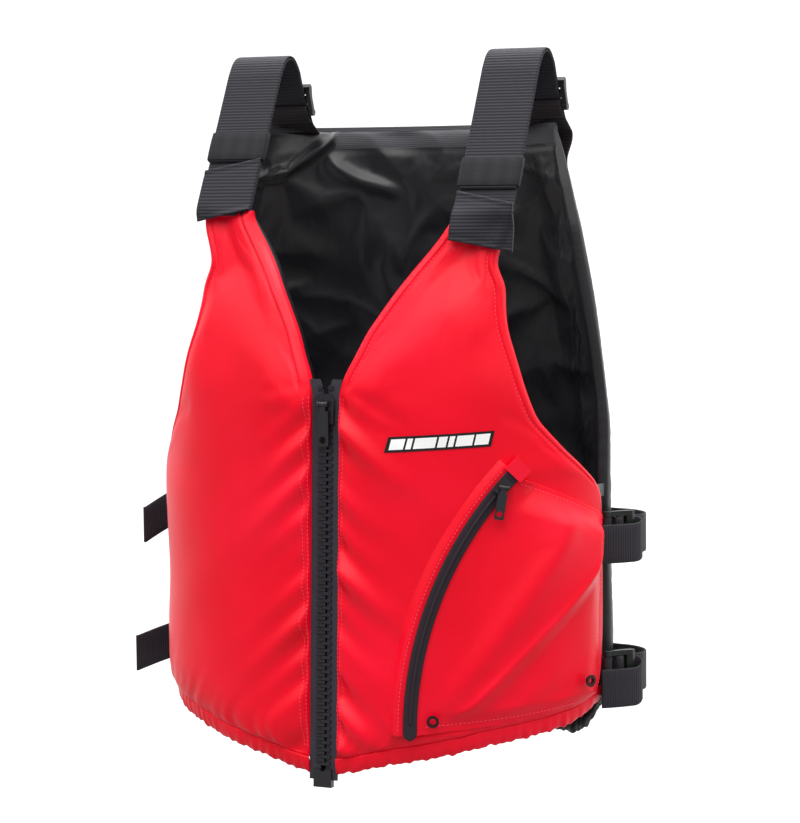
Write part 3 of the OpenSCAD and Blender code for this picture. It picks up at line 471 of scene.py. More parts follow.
def back_panel():
    """Both sheets of the back: the form offset by the pad's height each way, with wide
    handling creases on the lining and gathers dying away from the hem."""
    nu, nv = 150, 132
    u, v = np.meshgrid(2 * denser(nu) - 1, denser(nv, 1.25), indexing="ij")
    low = back_hem_z(BACK_SIDE * u) + HEM_H
    z = low + (BACK_TOP - low) * v
    phi = back_edge(z) * u
    p, n = back_frame(phi, z)
    arc = phi * back_mm(phi, z)
    du = (back_edge(z) - np.abs(phi)) * back_mm(phi, z)
    dv = np.minimum(z - back_hem_z(phi) - HEM_H, BACK_TOP - z)
    edge = rise(np.minimum(du, dv) / 5)
    hi = back_hi(phi, z, 10.4)
    gather = 1.6 * waves(arc, 5, [13, 19, 31]) * np.exp(-(z - low) / 16)
    crease = np.abs(lumps(arc, 1.6 * z, 31, 120)) + 0.7 * np.abs(lumps(arc + 0.6 * z, z, 32, 70))
    lining = hi + edge * (1.4 - 2.0 * crease + 0.25 * lumps(arc, z, 33, 48, 9) - gather)
    facing = -0.8 * np.exp(-((du - 9) / 1.5) ** 2) * rise((z - ARM_LOW) / 10)
    outer = hi + edge * (1.0 * lumps(arc, z, 34, 110) + gather) + facing * edge
    x = p[..., 0] + 0 * z
    band = (BACK_TOP - z < 17) & (x > -82)
    lining -= 0.9 * np.exp(-((BACK_TOP - z - 17) / 1.6) ** 2) * rise((x + 90) / 10)
    # Two folds run down from the facing's end: one out to the armhole, one inwards.
    outward = z - np.interp(x, [-152, -122, -97, -80], [486, 495, 512, 526])
    inward = z - np.interp(x, [-92, -60, -26, -8], [505, 487, 477, 474])
    lining += 6.0 * np.exp(-(outward / 5.5) ** 2) * rise((x + 165) / 12) * rise((-76 - x) / 10)
    lining += 4.5 * np.exp(-(inward / 7) ** 2) * rise((x + 92) / 14) * rise((-14 - x) / 22)
    co = np.concatenate([(p + n * np.maximum(outer, SEAM / 2)[..., None]).reshape(-1, 3),
                         (p - n * np.maximum(lining, SEAM / 2)[..., None]).reshape(-1, 3)])
    q = shell_quads(nu, nv, True)
    face = np.zeros(len(q), int)
    m = (nu - 1) * (nv - 1)
    face[m:2 * m] = band[:-1, :-1].ravel()
    uv = np.stack([arc, z], -1).reshape(-1, 2) * 0.001
    ob = mesh_piece("back_pad", co, q, np.concatenate([uv, uv]), [black_taffeta, grey_binding],
                    face)
    held = np.clip(1 - (np.minimum(du, dv) - 3) / 9, 0, 1)
    held_in = np.maximum(held, np.clip(1 - (BACK_TOP - z - 18) / 9, 0, 1))
    swell(ob, np.concatenate([held.ravel(), held_in.ravel()]), 1.6, 10, 3.5, 0.01)
    smoother(ob)
    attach(ob, "vest")
    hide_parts("back_cover", "back_foam")
    return ob


back_panel()

# ---- Elastic hems ----------------------------------------------------------
# The cover is folded round elastic along the bottom, red in front and black
# behind, and pulled into small gathers 7 mm apart. Sewn to the panels above.
def hem_strip(name, phi, place, low_z, cloth, seed, node, nose=7.0):
    """Closed flat tube along the bottom edge: a rounded strip HEM_H tall whose thickness
    and lower edge ripple with the gathers."""
    n_around = 14
    a = np.linspace(0, 2 * np.pi, n_around, endpoint=False)
    arc = np.concatenate([[0], np.cumsum(np.linalg.norm(np.diff(place(phi, low_z)[0], axis=0),
                                                        axis=1))])
    pinch = 0.5 + 0.5 * np.abs(waves(arc, seed, [nose * 2, nose * 3.1]))
    drop = 0.8 * waves(arc, seed + 1, [nose, nose * 1.7, nose * 2.9])
    h = HEM_H + 1.4
    up = 0.5 + 0.5 * np.sin(a)[None, :]
    zz = low_z[:, None] + h * up + (drop * 0.9)[:, None] * (1 - up) - 0.4 * (1 - up)
    thick = (1.1 + 1.1 * pinch)[:, None] * (0.75 + 0.35 * (1 - up)) * np.cos(a)[None, :]
    sway = 3.4 * up + (0.6 * waves(arc, seed + 2, [nose * 1.3, nose * 2.3]))[:, None] * (1 - up)
    p, n = place(phi, low_z)
    co = p[:, None, :] + n[:, None, :] * (thick + sway)[..., None]
    co[..., 2] = zz
    nu = len(phi)
    idx = np.arange(nu * n_around).reshape(nu, n_around)
    nxt = np.roll(idx, -1, axis=1)
    q = np.stack([idx[:-1], nxt[:-1], nxt[1:], idx[1:]], -1).reshape(-1, 4).tolist()
    q += [idx[0, ::-1].tolist(), idx[-1].tolist()]
    ob = bpy.data.objects.new(name, bpy.data.meshes.new(name))
    me = ob.data
    me.from_pydata((co.reshape(-1, 3) * 0.001).tolist(), [], q)
    uv = np.stack([np.repeat(arc, n_around), zz.ravel()], -1) * 0.001
    loops = np.zeros(len(me.loops), np.int64)
    me.loops.foreach_get("vertex_index", loops)
    me.uv_layers.new(name="cloth").data.foreach_set("uv", uv[loops].ravel())
    me.materials.append(cloth)
    me.polygons.foreach_set("use_smooth", np.ones(len(me.polygons), bool))
    bpy.context.scene.collection.objects.link(ob)
    face_out(ob)
    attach(ob, "vest")
    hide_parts(node)
    return ob


def face_out(ob):
    """Turns every face of a closed piece outwards."""
    import bmesh
    b = bmesh.new()
    b.from_mesh(ob.data)
    bmesh.ops.recalc_face_normals(b, faces=b.faces[:])
    b.to_mesh(ob.data)
    b.free()


for side, word in ((1, "left"), (-1, "right")):
    phi = np.linspace(phi_in(np.array(20.0)), FRONT_SIDE, 170)
    flip = np.array([side, 1, 1])

    def place(p, z, flip=flip):
        pt, n = front_frame(p, z)
        return pt * flip, n * flip

    hem_strip("gathered_hem_" + word, phi, place, hem_z(phi), red_taffeta, 40 + side,
              "front_hem_" + word)
phi = np.linspace(-BACK_SIDE, BACK_SIDE, 300)
hem_strip("gathered_hem_back", phi, back_frame, back_hem_z(phi), black_taffeta, 50, "back_hem")

# ---- Chest pocket ----------------------------------------------------------
# A loose red panel sewn round three sides over the left front. Its front edge
# is a curved zip held off the cover by a folded welt, and it billows behind it.
PLANE_D, WELT = 156.624, 6.6


def plane_level(phi, z):
    """Height over the form at which the zip's plane lies."""
    p, n = front_frame(phi, z)
    return (PLANE_D - (p[..., 0] * 0.5 - p[..., 1] * COS30)) / (n[..., 0] * 0.5 - n[..., 1] * COS30)


def pocket_panel():
    nu, nv, ns = 92, 110, 12
    t = np.concatenate([np.linspace(-1, 0, ns, endpoint=False) * 0.12,
                        np.linspace(0, 0.07, 7, endpoint=False),
                        0.07 + 0.93 * denser(nu - ns - 7, 1.2)])
    u, v = np.meshgrid(t, denser(nv, 1.2), indexing="ij")
    ang = np.radians(180 + (135.2 - 180) * v)
    r = POCKET_R + WELT - 2 * WELT * np.clip(u / 0.07, 0, 1) + 10 * np.clip(-u / 0.12, 0, 1)
    s_zip, z_zip = POCKET_X + r * np.cos(ang), POCKET_Z + r * np.sin(ang)
    p_zip = plane_phi(s_zip, z_zip)
    k = np.clip((u - 0.07) / 0.93, 0, 1)
    z_side = 62 + 150 * v - 12 * v * (1 - v)
    z = z_zip + (z_side - z_zip) * k
    phi = p_zip + (np.minimum(FRONT_SIDE - 2.5, phi_out(z_side) - 2) - p_zip) * k
    away = k * (FRONT_SIDE - p_zip) * front_mm(phi, z)
    cover, n = on_panel(1, phi, z)
    base = front_frame(phi, z)[0]
    over = ((cover - base) * n).sum(-1)
    rim = puff(np.minimum(np.minimum((1 - u) * 90, v * 120), (1 - v) * 90), 22)
    lay = rise(away / 64)
    level = plane_level(phi, z) - 1.0
    flat = front_hi(phi, z) + 2.0
    billow = 9.0 * rim * (0.8 + 0.2 * lumps(phi * 3, z, 61, 150))
    # One long ridge rises from the front eyelet; a sharp fold behind it runs to the side.
    fold_x = np.interp(z, [50, 68, 104, 126, 148, 168, 182, 192, 240],
                       [31, 38.4, 50.1, 58.1, 67, 74.8, 78.8, 80, 80])
    side = (phi - fold_x) * front_mm(phi, z)
    ridge_x = np.interp(z, [50, 71, 102, 135, 165, 192, 243], [27, 31.6, 39.6, 47.6, 54.9, 61.8, 71])
    ridge = np.exp(-(((phi - ridge_x) * front_mm(phi, z)) / 13) ** 2)
    soft = rise(v * 9) * rise((1 - v) * 7) * rise((1 - u) * 14)
    fold = 3.0 * np.exp(-np.abs(side) / 5) - 3.4 * rise(side / 16) + 4.2 * ridge
    fold += 0.8 * waves(side + 0.2 * z, 63, [31, 44]) * np.exp(-((z - 72) / 26) ** 2)
    high = level * (1 - lay) + (flat + billow) * lay + fold * soft * rise((u - 0.1) * 5)
    hem = rise(np.minimum(np.minimum((1 - v) * 190 / 26, (1 - u) * 110 / 20), v * 190 / 16))
    snug = rise((u - 0.12) * 9) * (1 - hem)
    high = high * (1 - snug) + (over + 1.3) * snug
    high = np.where(u > 0.07, np.maximum(high, over + 1.2), high)
    skirt = np.clip(-u / 0.12, 0, 1)
    high = high * (1 - rise(skirt)) + (over - 0.8) * rise(skirt)
    inner = np.minimum(np.minimum(over - 0.6, high - 1.4), 9.0)
    nn = front_frame(phi, z)[1]
    co = np.concatenate([(base + nn * high[..., None]).reshape(-1, 3),
                         (base + nn * inner[..., None]).reshape(-1, 3)])
    uv = np.stack([phi * front_mm(phi, z) + 0.3 * z, z - 0.4 * phi], -1).reshape(-1, 2) * 0.001
    ob = mesh_piece("pocket_front", co, shell_quads(nu, nv), np.concatenate([uv, uv]),
                    [red_taffeta])
    held = np.maximum(np.clip(1 - (u - 0.1) / 0.12, 0, 1),
                      1 - rise(np.minimum(np.minimum(v, 1 - v) * 14, (1 - u) * 12)))
    swell(ob, np.concatenate([held.ravel(), np.ones(nu * nv)]), 1.2, 8, 2.0, 0.0)
    smoother(ob)
    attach(ob, "vest")
    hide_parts("pocket_panel")
    return ob, base + nn * high[..., None], nn, u, v


pocket = pocket_panel()


def moulded(name, base, rough, spec=0.45, grain=90.0):
    """Injection-moulded plastic: one colour with a faint spark-eroded grain."""
    m, t, s = finish_named(name, rough, base=base, Specular_IOR_Level=spec)
    pos = add(t, "TexCoord")
    g = add(t, "TexNoise", None, {"Vector": pos.outputs["Object"], "Scale": grain * 10,
                                  "Detail": 2.0})
    b = add(t, "Bump", None, {"Height": g.outputs[0], "Strength": 0.25, "Distance": 0.0001})
    t.links.new(b.outputs[0], s.inputs["Normal"])
    return m


# Narrow knitted tape of the pocket zip, browner than the main zip's.
pocket_tape_knit = moulded("pocket_tape_knit", "#2e262d", 0.75, 0.2, 260)


def pocket_tape():
    """Tape of the pocket zip: a strip 11 mm wide along the arc, rounded at its lower end."""
    half, thick = 5.6, 0.75
    a = np.linspace(180.6, 135.4, 120)
    w = np.linspace(-1, 1, 9)
    arc_mm = (180.6 - a) * np.pi / 180 * POCKET_R
    wide = half * np.sqrt(np.clip(1 - ((half - arc_mm) / half).clip(0, 1) ** 2, 0.02, 1))
    r = POCKET_R + wide[:, None] * w[None, :]
    t = np.radians(a)[:, None]
    s, z = POCKET_X + r * np.cos(t), POCKET_Z + r * np.sin(t)
    sheets = []
    for off in (thick + 0.25, -thick):
        d = PLANE_D + off * (1 - 0.25 * w[None, :] ** 2) + 0 * s
        sheets.append(np.stack([s * COS30 + d * 0.5, s * 0.5 - d * COS30, z], -1).reshape(-1, 3))
    uv = np.stack([arc_mm[:, None] + 0 * r, r], -1).reshape(-1, 2) * 0.001
    ob = mesh_piece("pocket_zip_tape", np.concatenate(sheets), shell_quads(len(a), 9),
                    np.concatenate([uv, uv]), [pocket_tape_knit])
    face_out(ob)
    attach(ob, "vest")
    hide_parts("pocket_tape")


pocket_tape()

# ---- Shoulder webbing ------------------------------------------------------
# 50 mm polypropylene webbing, 1.5 mm thick: sewn at the panel's top, over the
# shoulder, round the ladder lock's bar and back down on itself as the tail.
STRAP_W, STRAP_X, WEB_T, SIDE_W = 50.0, 118.0, 1.5, 32.0


def webbing(name, base, groove_shade, pitch, rough=0.62, across=False):
    """Ribbed weave: rounded ribs pitch mm apart across the band, crossed by fine yarns.
    The colour darkens to the second colour where the ribs dip: painted shade in the grooves.
    """
    m, t, s = finish_named(name, rough, base=base, Specular_IOR_Level=0.25, Sheen_Weight=0.06,
                           Sheen_Roughness=0.5)
    uv = add(t, "UVMap", {"uv_map": "cloth"})
    k = 0.31416 / (pitch * 0.001)
    d = ("Y", "X") if across else ("X", "Y")
    ribs = add(t, "TexWave", {"bands_direction": d[0]}, {"Vector": uv.outputs[0], "Scale": k})
    yarn = add(t, "TexWave", {"bands_direction": d[1]}, {"Vector": uv.outputs[0],
                                                      "Scale": 0.31416 / 0.0011})
    mix = add(t, "Mix", {"data_type": "RGBA"}, {"Factor": ribs.outputs[1]})
    mix.inputs[6].default_value, mix.inputs[7].default_value = linear(groove_shade), linear(base)
    t.links.new(mix.outputs[2], s.inputs["Base Color"])
    b1 = add(t, "Bump", None, {"Height": ribs.outputs[1], "Strength": 0.6, "Distance": 0.0004})
    b2 = add(t, "Bump", None, {"Height": yarn.outputs[1], "Strength": 0.4, "Distance": 0.00015,
                               "Normal": b1.outputs[0]})
    t.links.new(b2.outputs[0], s.inputs["Normal"])
    return m


# Charcoal polypropylene webbing with ribs 2.8 mm apart, and finer 2.2 mm ribs at the sides.
# The second colour of each webbing is painted shade in the grooves between its ribs.
shoulder_webbing = webbing("shoulder_webbing", "#25232b", "#1b1920", 2.8)
side_webbing = webbing("side_webbing", "#2c2930", "#1e1c22", 2.2)
# Keeper elastic: lengthwise ribs, a little darker.
keeper_elastic = webbing("keeper_elastic", "#1c1a20", "#141317", 2.6, 0.7, True)


def smooth_path(points, step=1.6):
    """Resamples a rounded path evenly; the corners are cut twice first."""
    p = np.array(points, float)
    for _ in range(2):
        q = np.empty((2 * len(p) - 2, p.shape[1]))
        q[0::2], q[1::2] = 0.75 * p[:-1] + 0.25 * p[1:], 0.25 * p[:-1] + 0.75 * p[1:]
        p = np.vstack([p[:1], q, p[-1:]])
    return even(p, step)


def even(p, step):
    d = np.concatenate([[0], np.cumsum(np.linalg.norm(np.diff(p, axis=0), axis=1))])
    s = np.linspace(0, d[-1], max(2, int(d[-1] / step)))
    return np.stack([np.interp(s, d, p[:, i]) for i in range(p.shape[1])], -1)


def band(name, path, wide, width, thick, cloth, curl=None, shear=None):
    """Flat band swept along path (N by 3, mm) with its width along the unit vector wide:
    a rounded eight-sided section. curl lifts the band's middle, per point, in mm."""
    p = np.asarray(path, float)
    n = len(p)
    t = np.gradient(p, axis=0)
    t /= np.linalg.norm(t, axis=1, keepdims=True)
    wide = np.asarray(wide, float)
    w = np.tile(wide, (n, 1)) if wide.ndim == 1 else wide
    nrm = np.cross(t, w)
    nrm /= np.linalg.norm(nrm, axis=1, keepdims=True)
    x = np.array([-0.5, -0.47, -0.3, -0.1, 0.1, 0.3, 0.47, 0.5])
    half = np.array([0.2] + [0.5] * 6 + [0.2])
    lo, hi = np.stack([x, -half], -1), np.stack([x, half], -1)
    sec = np.vstack([lo, hi[::-1]])
    lift = 0 if curl is None else np.outer(curl, 1 - (2 * sec[:, 0]) ** 2)[..., None]
    slide = 0 if shear is None else np.outer(shear, sec[:, 0])[..., None] * t[:, None]
    co = (p[:, None] + w[:, None] * (sec[:, 0] * width)[None, :, None]
          + nrm[:, None] * (sec[:, 1] * thick)[None, :, None] + nrm[:, None] * lift + slide)
    m = len(sec)
    idx = np.arange(n * m).reshape(n, m)
    nxt = np.roll(idx, -1, axis=1)
    q = np.stack([idx[:-1], nxt[:-1], nxt[1:], idx[1:]], -1).reshape(-1, 4).tolist()
    q += [idx[0, ::-1].tolist(), idx[-1].tolist()]
    me = bpy.data.meshes.new(name)
    me.from_pydata((co.reshape(-1, 3) * 0.001).tolist(), [], q)
    d = np.concatenate([[0], np.cumsum(np.linalg.norm(np.diff(p, axis=0), axis=1))])
    uv = np.stack([np.repeat(d, m), np.tile(sec[:, 0] * width, n)], -1) * 0.001
    loops = np.zeros(len(me.loops), np.int64)
    me.loops.foreach_get("vertex_index", loops)
    me.uv_layers.new(name="cloth").data.foreach_set("uv", uv[loops].ravel())
    me.materials.append(cloth)
    me.polygons.foreach_set("use_smooth", np.ones(len(me.polygons), bool))
    ob = bpy.data.objects.new(name, me)
    bpy.context.scene.collection.objects.link(ob)
    face_out(ob)
    return ob


LOOP_R, LAY_IN = 3.15, -4.65
LAY_OUT, THREAD_END, LIP_X, BAR_STEP = LAY_IN + 2.0, 28.0, 17.0, 11.0
turn = np.radians(np.linspace(-90, -270, 15))
threading = np.vstack([[[THREAD_END, LAY_IN], [LIP_X - 1, LAY_IN], [BAR_STEP + 2, LAY_IN + 0.55]],
                       np.stack([BAR_STEP + LOOP_R * np.cos(turn), LOOP_R * np.sin(turn)], -1),
                       [[BAR_STEP + 2.2, LOOP_R - 0.9], [BAR_STEP + 3.9, 0.6],
                        [LIP_X - 1.3, LAY_OUT + 0.7], [LIP_X + 0.6, LAY_OUT]]])


def in_frame(points, at, along, out):
    """Buckle coordinates (along, outward) to the two plane coordinates of the strap."""
    q = np.asarray(points, float)
    return np.array(at) + q[:, :1] * np.array(along) + q[:, 1:2] * np.array(out)


SHOULDER = ((46.0, 546.0), (math.cos(math.radians(111)), math.sin(math.radians(111))),
            (math.sin(math.radians(111)), -math.cos(math.radians(111))))
FOOT, KNEE = np.array([-68.0, 458.0]), np.array([-6.0, 576.0])
RUN = (KNEE - FOOT) / np.linalg.norm(KNEE - FOOT)
PROUD = np.array([-RUN[1], RUN[0]])


def on_strap(z):
    return FOOT + RUN * (z - FOOT[1]) / RUN[1]


over = smooth_path(np.vstack([[KNEE, (3, 589), (16, 592.5), (27, 582)],
                              in_frame([(32.4, LAY_IN), (29.4, LAY_IN)], *SHOULDER)]))


def shoulder_strap(side, word, drop):
    down = in_frame(threading, *SHOULDER)
    up = np.vstack([even(np.vstack([FOOT, over[0]]), 3), over])
    dirs = np.gradient(up, axis=0)
    dirs /= np.linalg.norm(dirs, axis=1, keepdims=True)
    tail = up + 2.05 * np.stack([-dirs[:, 1], dirs[:, 0]], -1)
    start = on_strap(496 - drop + 6)[1]
    tail = tail[(tail[:, 1] > start) | (tail[:, 0] > 0)]
    path = np.vstack([up, even(down, 0.9)[1:-1], tail[::-1]])
    keep = np.concatenate([[True], np.linalg.norm(np.diff(path, axis=0), axis=1) > 0.35])
    path = path[keep]
    soft = path.copy()
    soft[1:-1] = 0.25 * path[:-2] + 0.5 * path[1:-1] + 0.25 * path[2:]
    n = len(soft)
    p3 = np.stack([np.full(n, side * STRAP_X), soft[:, 0], soft[:, 1]], -1)
    ob = band("shoulder_webbing_" + word, p3, (1, 0, 0), STRAP_W, WEB_T, shoulder_webbing)
    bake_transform(ob)
    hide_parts("shoulder_strap_" + word, "shoulder_tail_" + word, "shoulder_thread_" + word)


def keeper(side, word, drop):
    """Elastic sleeve round both layers: a rounded-rectangle tube, open at both ends."""
    c = on_strap(515 - drop) + PROUD * 1.0
    a = np.linspace(0, 2 * np.pi, 40, endpoint=False)
    e = lambda q, k: np.sign(q) * np.abs(q) ** k
    x, y = e(np.cos(a), 0.16), e(np.sin(a), 0.3)
    rows = []
    for l, g in ((-13, 0), (-12.4, 0.5), (-6, 0.9), (0, 1.0), (6, 0.9), (12.4, 0.5), (13, 0)):
        rows.append((l, 26.5 + 0.6 * g, 2.55 + 0.45 * g))
    for l in (13, 0, -13):
        rows.append((l, 25.5, 2.15))
    co = []
    for l, hw, hh in rows:
        q = c[None, :] + RUN * l + PROUD * (y * hh)[:, None]
        co.append(np.stack([side * STRAP_X + x * hw, q[:, 0], q[:, 1]], -1))
    m = len(rows)
    idx = np.arange(m * 40).reshape(m, 40)
    j = np.roll(idx, -1, axis=1)
    q = np.stack([idx, np.roll(idx, -1, 0), np.roll(j, -1, 0), j], -1).reshape(-1, 4)
    uv = np.array([(l * 0.001, t * 0.0036) for l, _, _ in rows for t in range(40)])
    ob = mesh_piece("strap_keeper_sleeve_" + word, np.concatenate(co), q, uv, [keeper_elastic])
    face_out(ob)
    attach(ob, "strap_keeper_" + word)
    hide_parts("strap_keeper_" + word)


def anchor(side, word, drop):
    """Two layers of webbing folded over the panel's top and the strap's foot, box-sewn."""
    nu, nv = 22, 30
    u, v = np.meshgrid(np.linspace(-1, 1, nu), np.linspace(0, 1, nv), indexing="ij")
    up = 5.0 if side < 0 else 0.0
    z = 453 + up - drop * 0.85 + (43 - drop * 0.15) * v - 5 * u
    x = STRAP_X + u * STRAP_W / 2
    zc = np.minimum(z, FRONT_TOP - 0.5)
    phi = np.degrees(np.arcsin(x / (HALF_W + 6)))
    inside = np.clip(phi, phi_in(zc) + 0.2, phi_out(zc) - 0.2)
    hug = on_panel(side, inside, zc)[0][..., 1] - 1.2
    y_out = -np.sqrt(np.maximum(0, 1 - (x / (HALF_W + 12)) ** 2)) * (front_b(zc) + 12) + 1.0
    hug = np.minimum(hug, y_out + 3)
    strap = np.interp(z, [FOOT[1], KNEE[1]], [FOOT[0], KNEE[0]]) - 2.2
    k = rise((z - 443) / 26)
    y = hug * (1 - k) + np.minimum(strap, hug + 60) * k
    lip = 0.5 * np.exp(-((v - 1) * 43 / 2.0) ** 2) + 0.4 * np.exp(-(v * 43 / 2.5) ** 2)
    sew = 0.35 * (np.exp(-((np.abs(u) - 0.86) / 0.035) ** 2) + np.exp(-((v - 0.1) / 0.03) ** 2)
                  + np.exp(-((v - 0.9) / 0.03) ** 2))
    front = np.stack([side * x, y - 3.0 - lip + sew, z], -1)
    back = np.stack([side * x, y + 0.4, z], -1)
    co = np.concatenate([front.reshape(-1, 3), back.reshape(-1, 3)])
    uv = np.stack([z, x], -1).reshape(-1, 2) * 0.001
    ob = mesh_piece("strap_foot_patch_" + word, co, shell_quads(nu, nv, side < 0),
                    np.concatenate([uv, uv]), [shoulder_webbing])
    face_out(ob)
    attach(ob, "vest")
    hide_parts("strap_anchor_" + word)


def shoulder_tab(side, word):
    """Webbing loop from the outside of the back, round the buckle's lower bar and down again."""
    z = np.linspace(468, 526, 30)
    h = SEAM / 2 + 11 * puff((BACK_TOP - z) * 0.7, EDGE_ROUND)
    a, b = back_a(z) + h, back_b(z) + h
    y = b * np.sqrt(1 - (STRAP_X / a) ** 2) + 3.4
    slope = -b * STRAP_X / a ** 2 / np.sqrt(1 - (STRAP_X / a) ** 2)
    arc = np.radians(np.linspace(128, -128, 21))
    loop = np.stack([LOOP_R * np.cos(arc) + 3.6 * rise(np.cos(arc) * 3), LOOP_R * np.sin(arc)], -1)
    ring = in_frame(np.vstack([[(-12, 4.2), (-6, 3.0), (-4, 2.8)], loop, [(-5, -1.6), (-9, 0.4)]]),
                    *SHOULDER)
    yz = np.vstack([np.stack([y, z], -1), ring])
    tilt = np.concatenate([slope * (1 - rise((z - 500) / 26)), np.zeros(len(ring))])
    path = even(np.column_stack([yz, tilt]), 1.2)
    path[1:-1] = 0.25 * path[:-2] + 0.5 * path[1:-1] + 0.25 * path[2:]
    n = len(path)
    wide = np.stack([np.ones(n), side * path[:, 2], np.zeros(n)], -1)
    wide /= np.linalg.norm(wide, axis=1, keepdims=True)
    p3 = np.stack([np.full(n, side * STRAP_X), path[:, 0], path[:, 1]], -1)
    bow = 1.6 * np.clip(np.abs(path[:, 2]) / 0.6, 0, 1)
    probe = np.cross(np.gradient(p3, axis=0)[0], wide[0])
    ob = band("shoulder_tab_webbing_" + word, p3, wide, STRAP_W, WEB_T, tab_web,
              bow * (1 if probe[1] > 0 else -1))
    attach(ob, "vest")
    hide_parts("shoulder_tab_" + word)


# The tabs' webbing looks browner, from the dye.
# Its second colour is painted shade in the grooves between the ribs.
tab_web = webbing("tab_web", "#2e262b", "#1f1a1e", 3.0)
for side, word, drop in ((1, "left", 24.0), (-1, "right", 0.0)):
    shoulder_strap(side, word, drop)
    shoulder_tab(side, word)
    keeper(side, word, drop)
    anchor(side, word, drop)

# ---- Side webbing ----------------------------------------------------------
# 32 mm webbing, two on each side: sewn along the back, through a ladder lock
# held by a short tab from the front, with the loose end hanging free.
SIDE = ((199.0, -3.0), (math.cos(math.radians(52)), math.sin(math.radians(52))),
        (math.sin(math.radians(52)), -math.cos(math.radians(52))))


def back_plan(phi, z, d):
    p, n = back_frame(np.array(float(phi)), np.array(float(z)))
    return (p + n * (SEAM / 2 + 11 + d))[:2]


def side_strap(side, word, row, z, tail, lean):
    sew = [back_plan(a, z, d) for a, d in ((62, 5), (56, 2.2), (51, 2), (46, 2), (41, 2), (37, 2))]
    run = smooth_path(np.vstack([sew[::-1], [(200, 60), (217, 46)],
                                 in_frame([(37.4, LAY_IN), (29.4, LAY_IN)], *SIDE)]), 2.0)
    end = smooth_path(in_frame(tail, *SIDE), 1.6)
    path = np.vstack([run, even(in_frame(threading, *SIDE), 0.9)[1:-1], end])
    keep = np.concatenate([[True], np.linalg.norm(np.diff(path, axis=0), axis=1) > 0.35])
    path = path[keep]
    path[1:-1] = 0.25 * path[:-2] + 0.5 * path[1:-1] + 0.25 * path[2:]
    n = len(path)
    k = np.clip((np.arange(n) - (n - len(end) - 2)) / len(end), 0, 1)
    lift = 0.5 if row == "upper" else 0.3
    sag = -lean * (rise(k * 2.2) if side > 0 else k - lift * rise(k * 3))
    p3 = np.stack([side * path[:, 0], path[:, 1], z + sag], -1)
    ob = band(f"side_webbing_{word}_{row}", p3, (0, 0, 1), SIDE_W, WEB_T, side_webbing)
    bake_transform(ob)
    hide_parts(f"side_strap_{word}_{row}", f"side_thread_{word}_{row}")


# Where a loose end runs past the buckle, in the buckle's own frame: folded back short
# over the buckle on the left, and hanging out in two lengths on the right.
SHORT = [(THREAD_END, LAY_OUT), (THREAD_END + 2.5, LAY_OUT + 1.5), (THREAD_END + 4, 3.5),
         (THREAD_END, 8.5), (LIP_X - 2, 9.6), (2, 8.2), (-9, 5.5)]
LONG = [(THREAD_END, LAY_OUT), (THREAD_END + 3, LAY_OUT + 1.6), (THREAD_END + 5, LAY_OUT + 7),
        (THREAD_END + 4, LAY_OUT + 20), (THREAD_END - 2, LAY_OUT + 42)]
MIDDLE = LONG[:3] + [(THREAD_END + 4, LAY_OUT + 18), (THREAD_END, LAY_OUT + 33)]
for row, z in (("upper", 192.0), ("lower", 76.0)):
    side_strap(1, "left", row, z, SHORT, 5 if row == "upper" else 9)
    upper = row == "upper"
    side_strap(-1, "right", row, z, MIDDLE if upper else LONG, 20 if upper else 13)

# ---- Moulded and metal parts -----------------------------------------------
# Zips, sliders, buckles and eyelets keep their own modelled shapes; each gets
# the finish of what it is made of.


def finish_nodes(material, *names):
    """Puts one material on each named piece of the frame."""
    for name in names:
        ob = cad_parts[name]
        ob.data.materials.clear()
        ob.data.materials.append(material)


# Acetal buckles: near-black plastic; the green cast in their colour is a painted reflection of green
# surroundings.
buckle_acetal = moulded("buckle_acetal", "#161c1a", 0.38)
# Acetal zip teeth, box and stops, near-black.
tooth_acetal = moulded("tooth_acetal", "#1d1a1f", 0.36, 0.5)
# Zip tape: knitted polyester, ribbed along its length, charcoal.
zip_tape_knit = moulded("zip_tape_knit", "#35323b", 0.75, 0.3, 260)
# Baked black enamel over zinc, for sliders and pulls, a little worn.
slider_enamel = moulded("slider_enamel", "#2a282c", 0.3, 0.6, 40)
slider_enamel.node_tree.nodes["Principled BSDF"].inputs["Metallic"].default_value = 0.35
# Blackened brass eyelets.
eyelet_brass = moulded("eyelet_brass", "#3a2226", 0.34, 0.5, 60)
eyelet_brass.node_tree.nodes["Principled BSDF"].inputs["Metallic"].default_value = 0.7
both = ("left", "right")
finish_nodes(buckle_acetal, *["shoulder_buckle_" + w for w in both],
             *[f"side_buckle_{w}_{r}" for w in both for r in ("upper", "lower")])
finish_nodes(tooth_acetal, "zip_box", "zip_stops",
             *["zip_teeth_" + w for w in both])
finish_nodes(zip_tape_knit, *["zip_tape_" + w for w in both])
finish_nodes(pocket_tape_knit, "pocket_coil")
finish_nodes(slider_enamel, "zip_slider", "zip_pull", "pocket_slider", "pocket_pull")
finish_nodes(eyelet_brass, "eyelet_front", "eyelet_side")
# The folded garage is the covers' own red taffeta; the side tabs are webbing.
finish_nodes(moulded("red_taffeta_fold", "#f2022a", 0.5, 0.3, 200), "pocket_garage")
finish_nodes(moulded("side_tab_webbing", "#2e262b", 0.7, 0.3, 200),
             *["side_tabs_" + w for w in both])
finish_nodes(moulded("side_stretch_knit", "#17161a", 0.7, 0.3, 200),
             *["side_panel_" + w for w in both])
finish_nodes(grey_binding, "back_binding", *["side_binding_" + w for w in both])


def zip_underlap():
    """Black taffeta strip, 21 mm wide, sewn behind the main zip to keep the wind out."""
    lean = math.atan(14 / 317)
    z = np.linspace(2, 312, 60)
    path = np.stack([0 * z, -132 + 4.8 * math.cos(lean) + z * math.sin(lean),
                     -4.8 * math.sin(lean) + z * math.cos(lean)], -1)
    ob = band("zip_underlap", path, (1, 0, 0), 21.0, 0.7, black_taffeta)
    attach(ob, "vest")


zip_underlap()

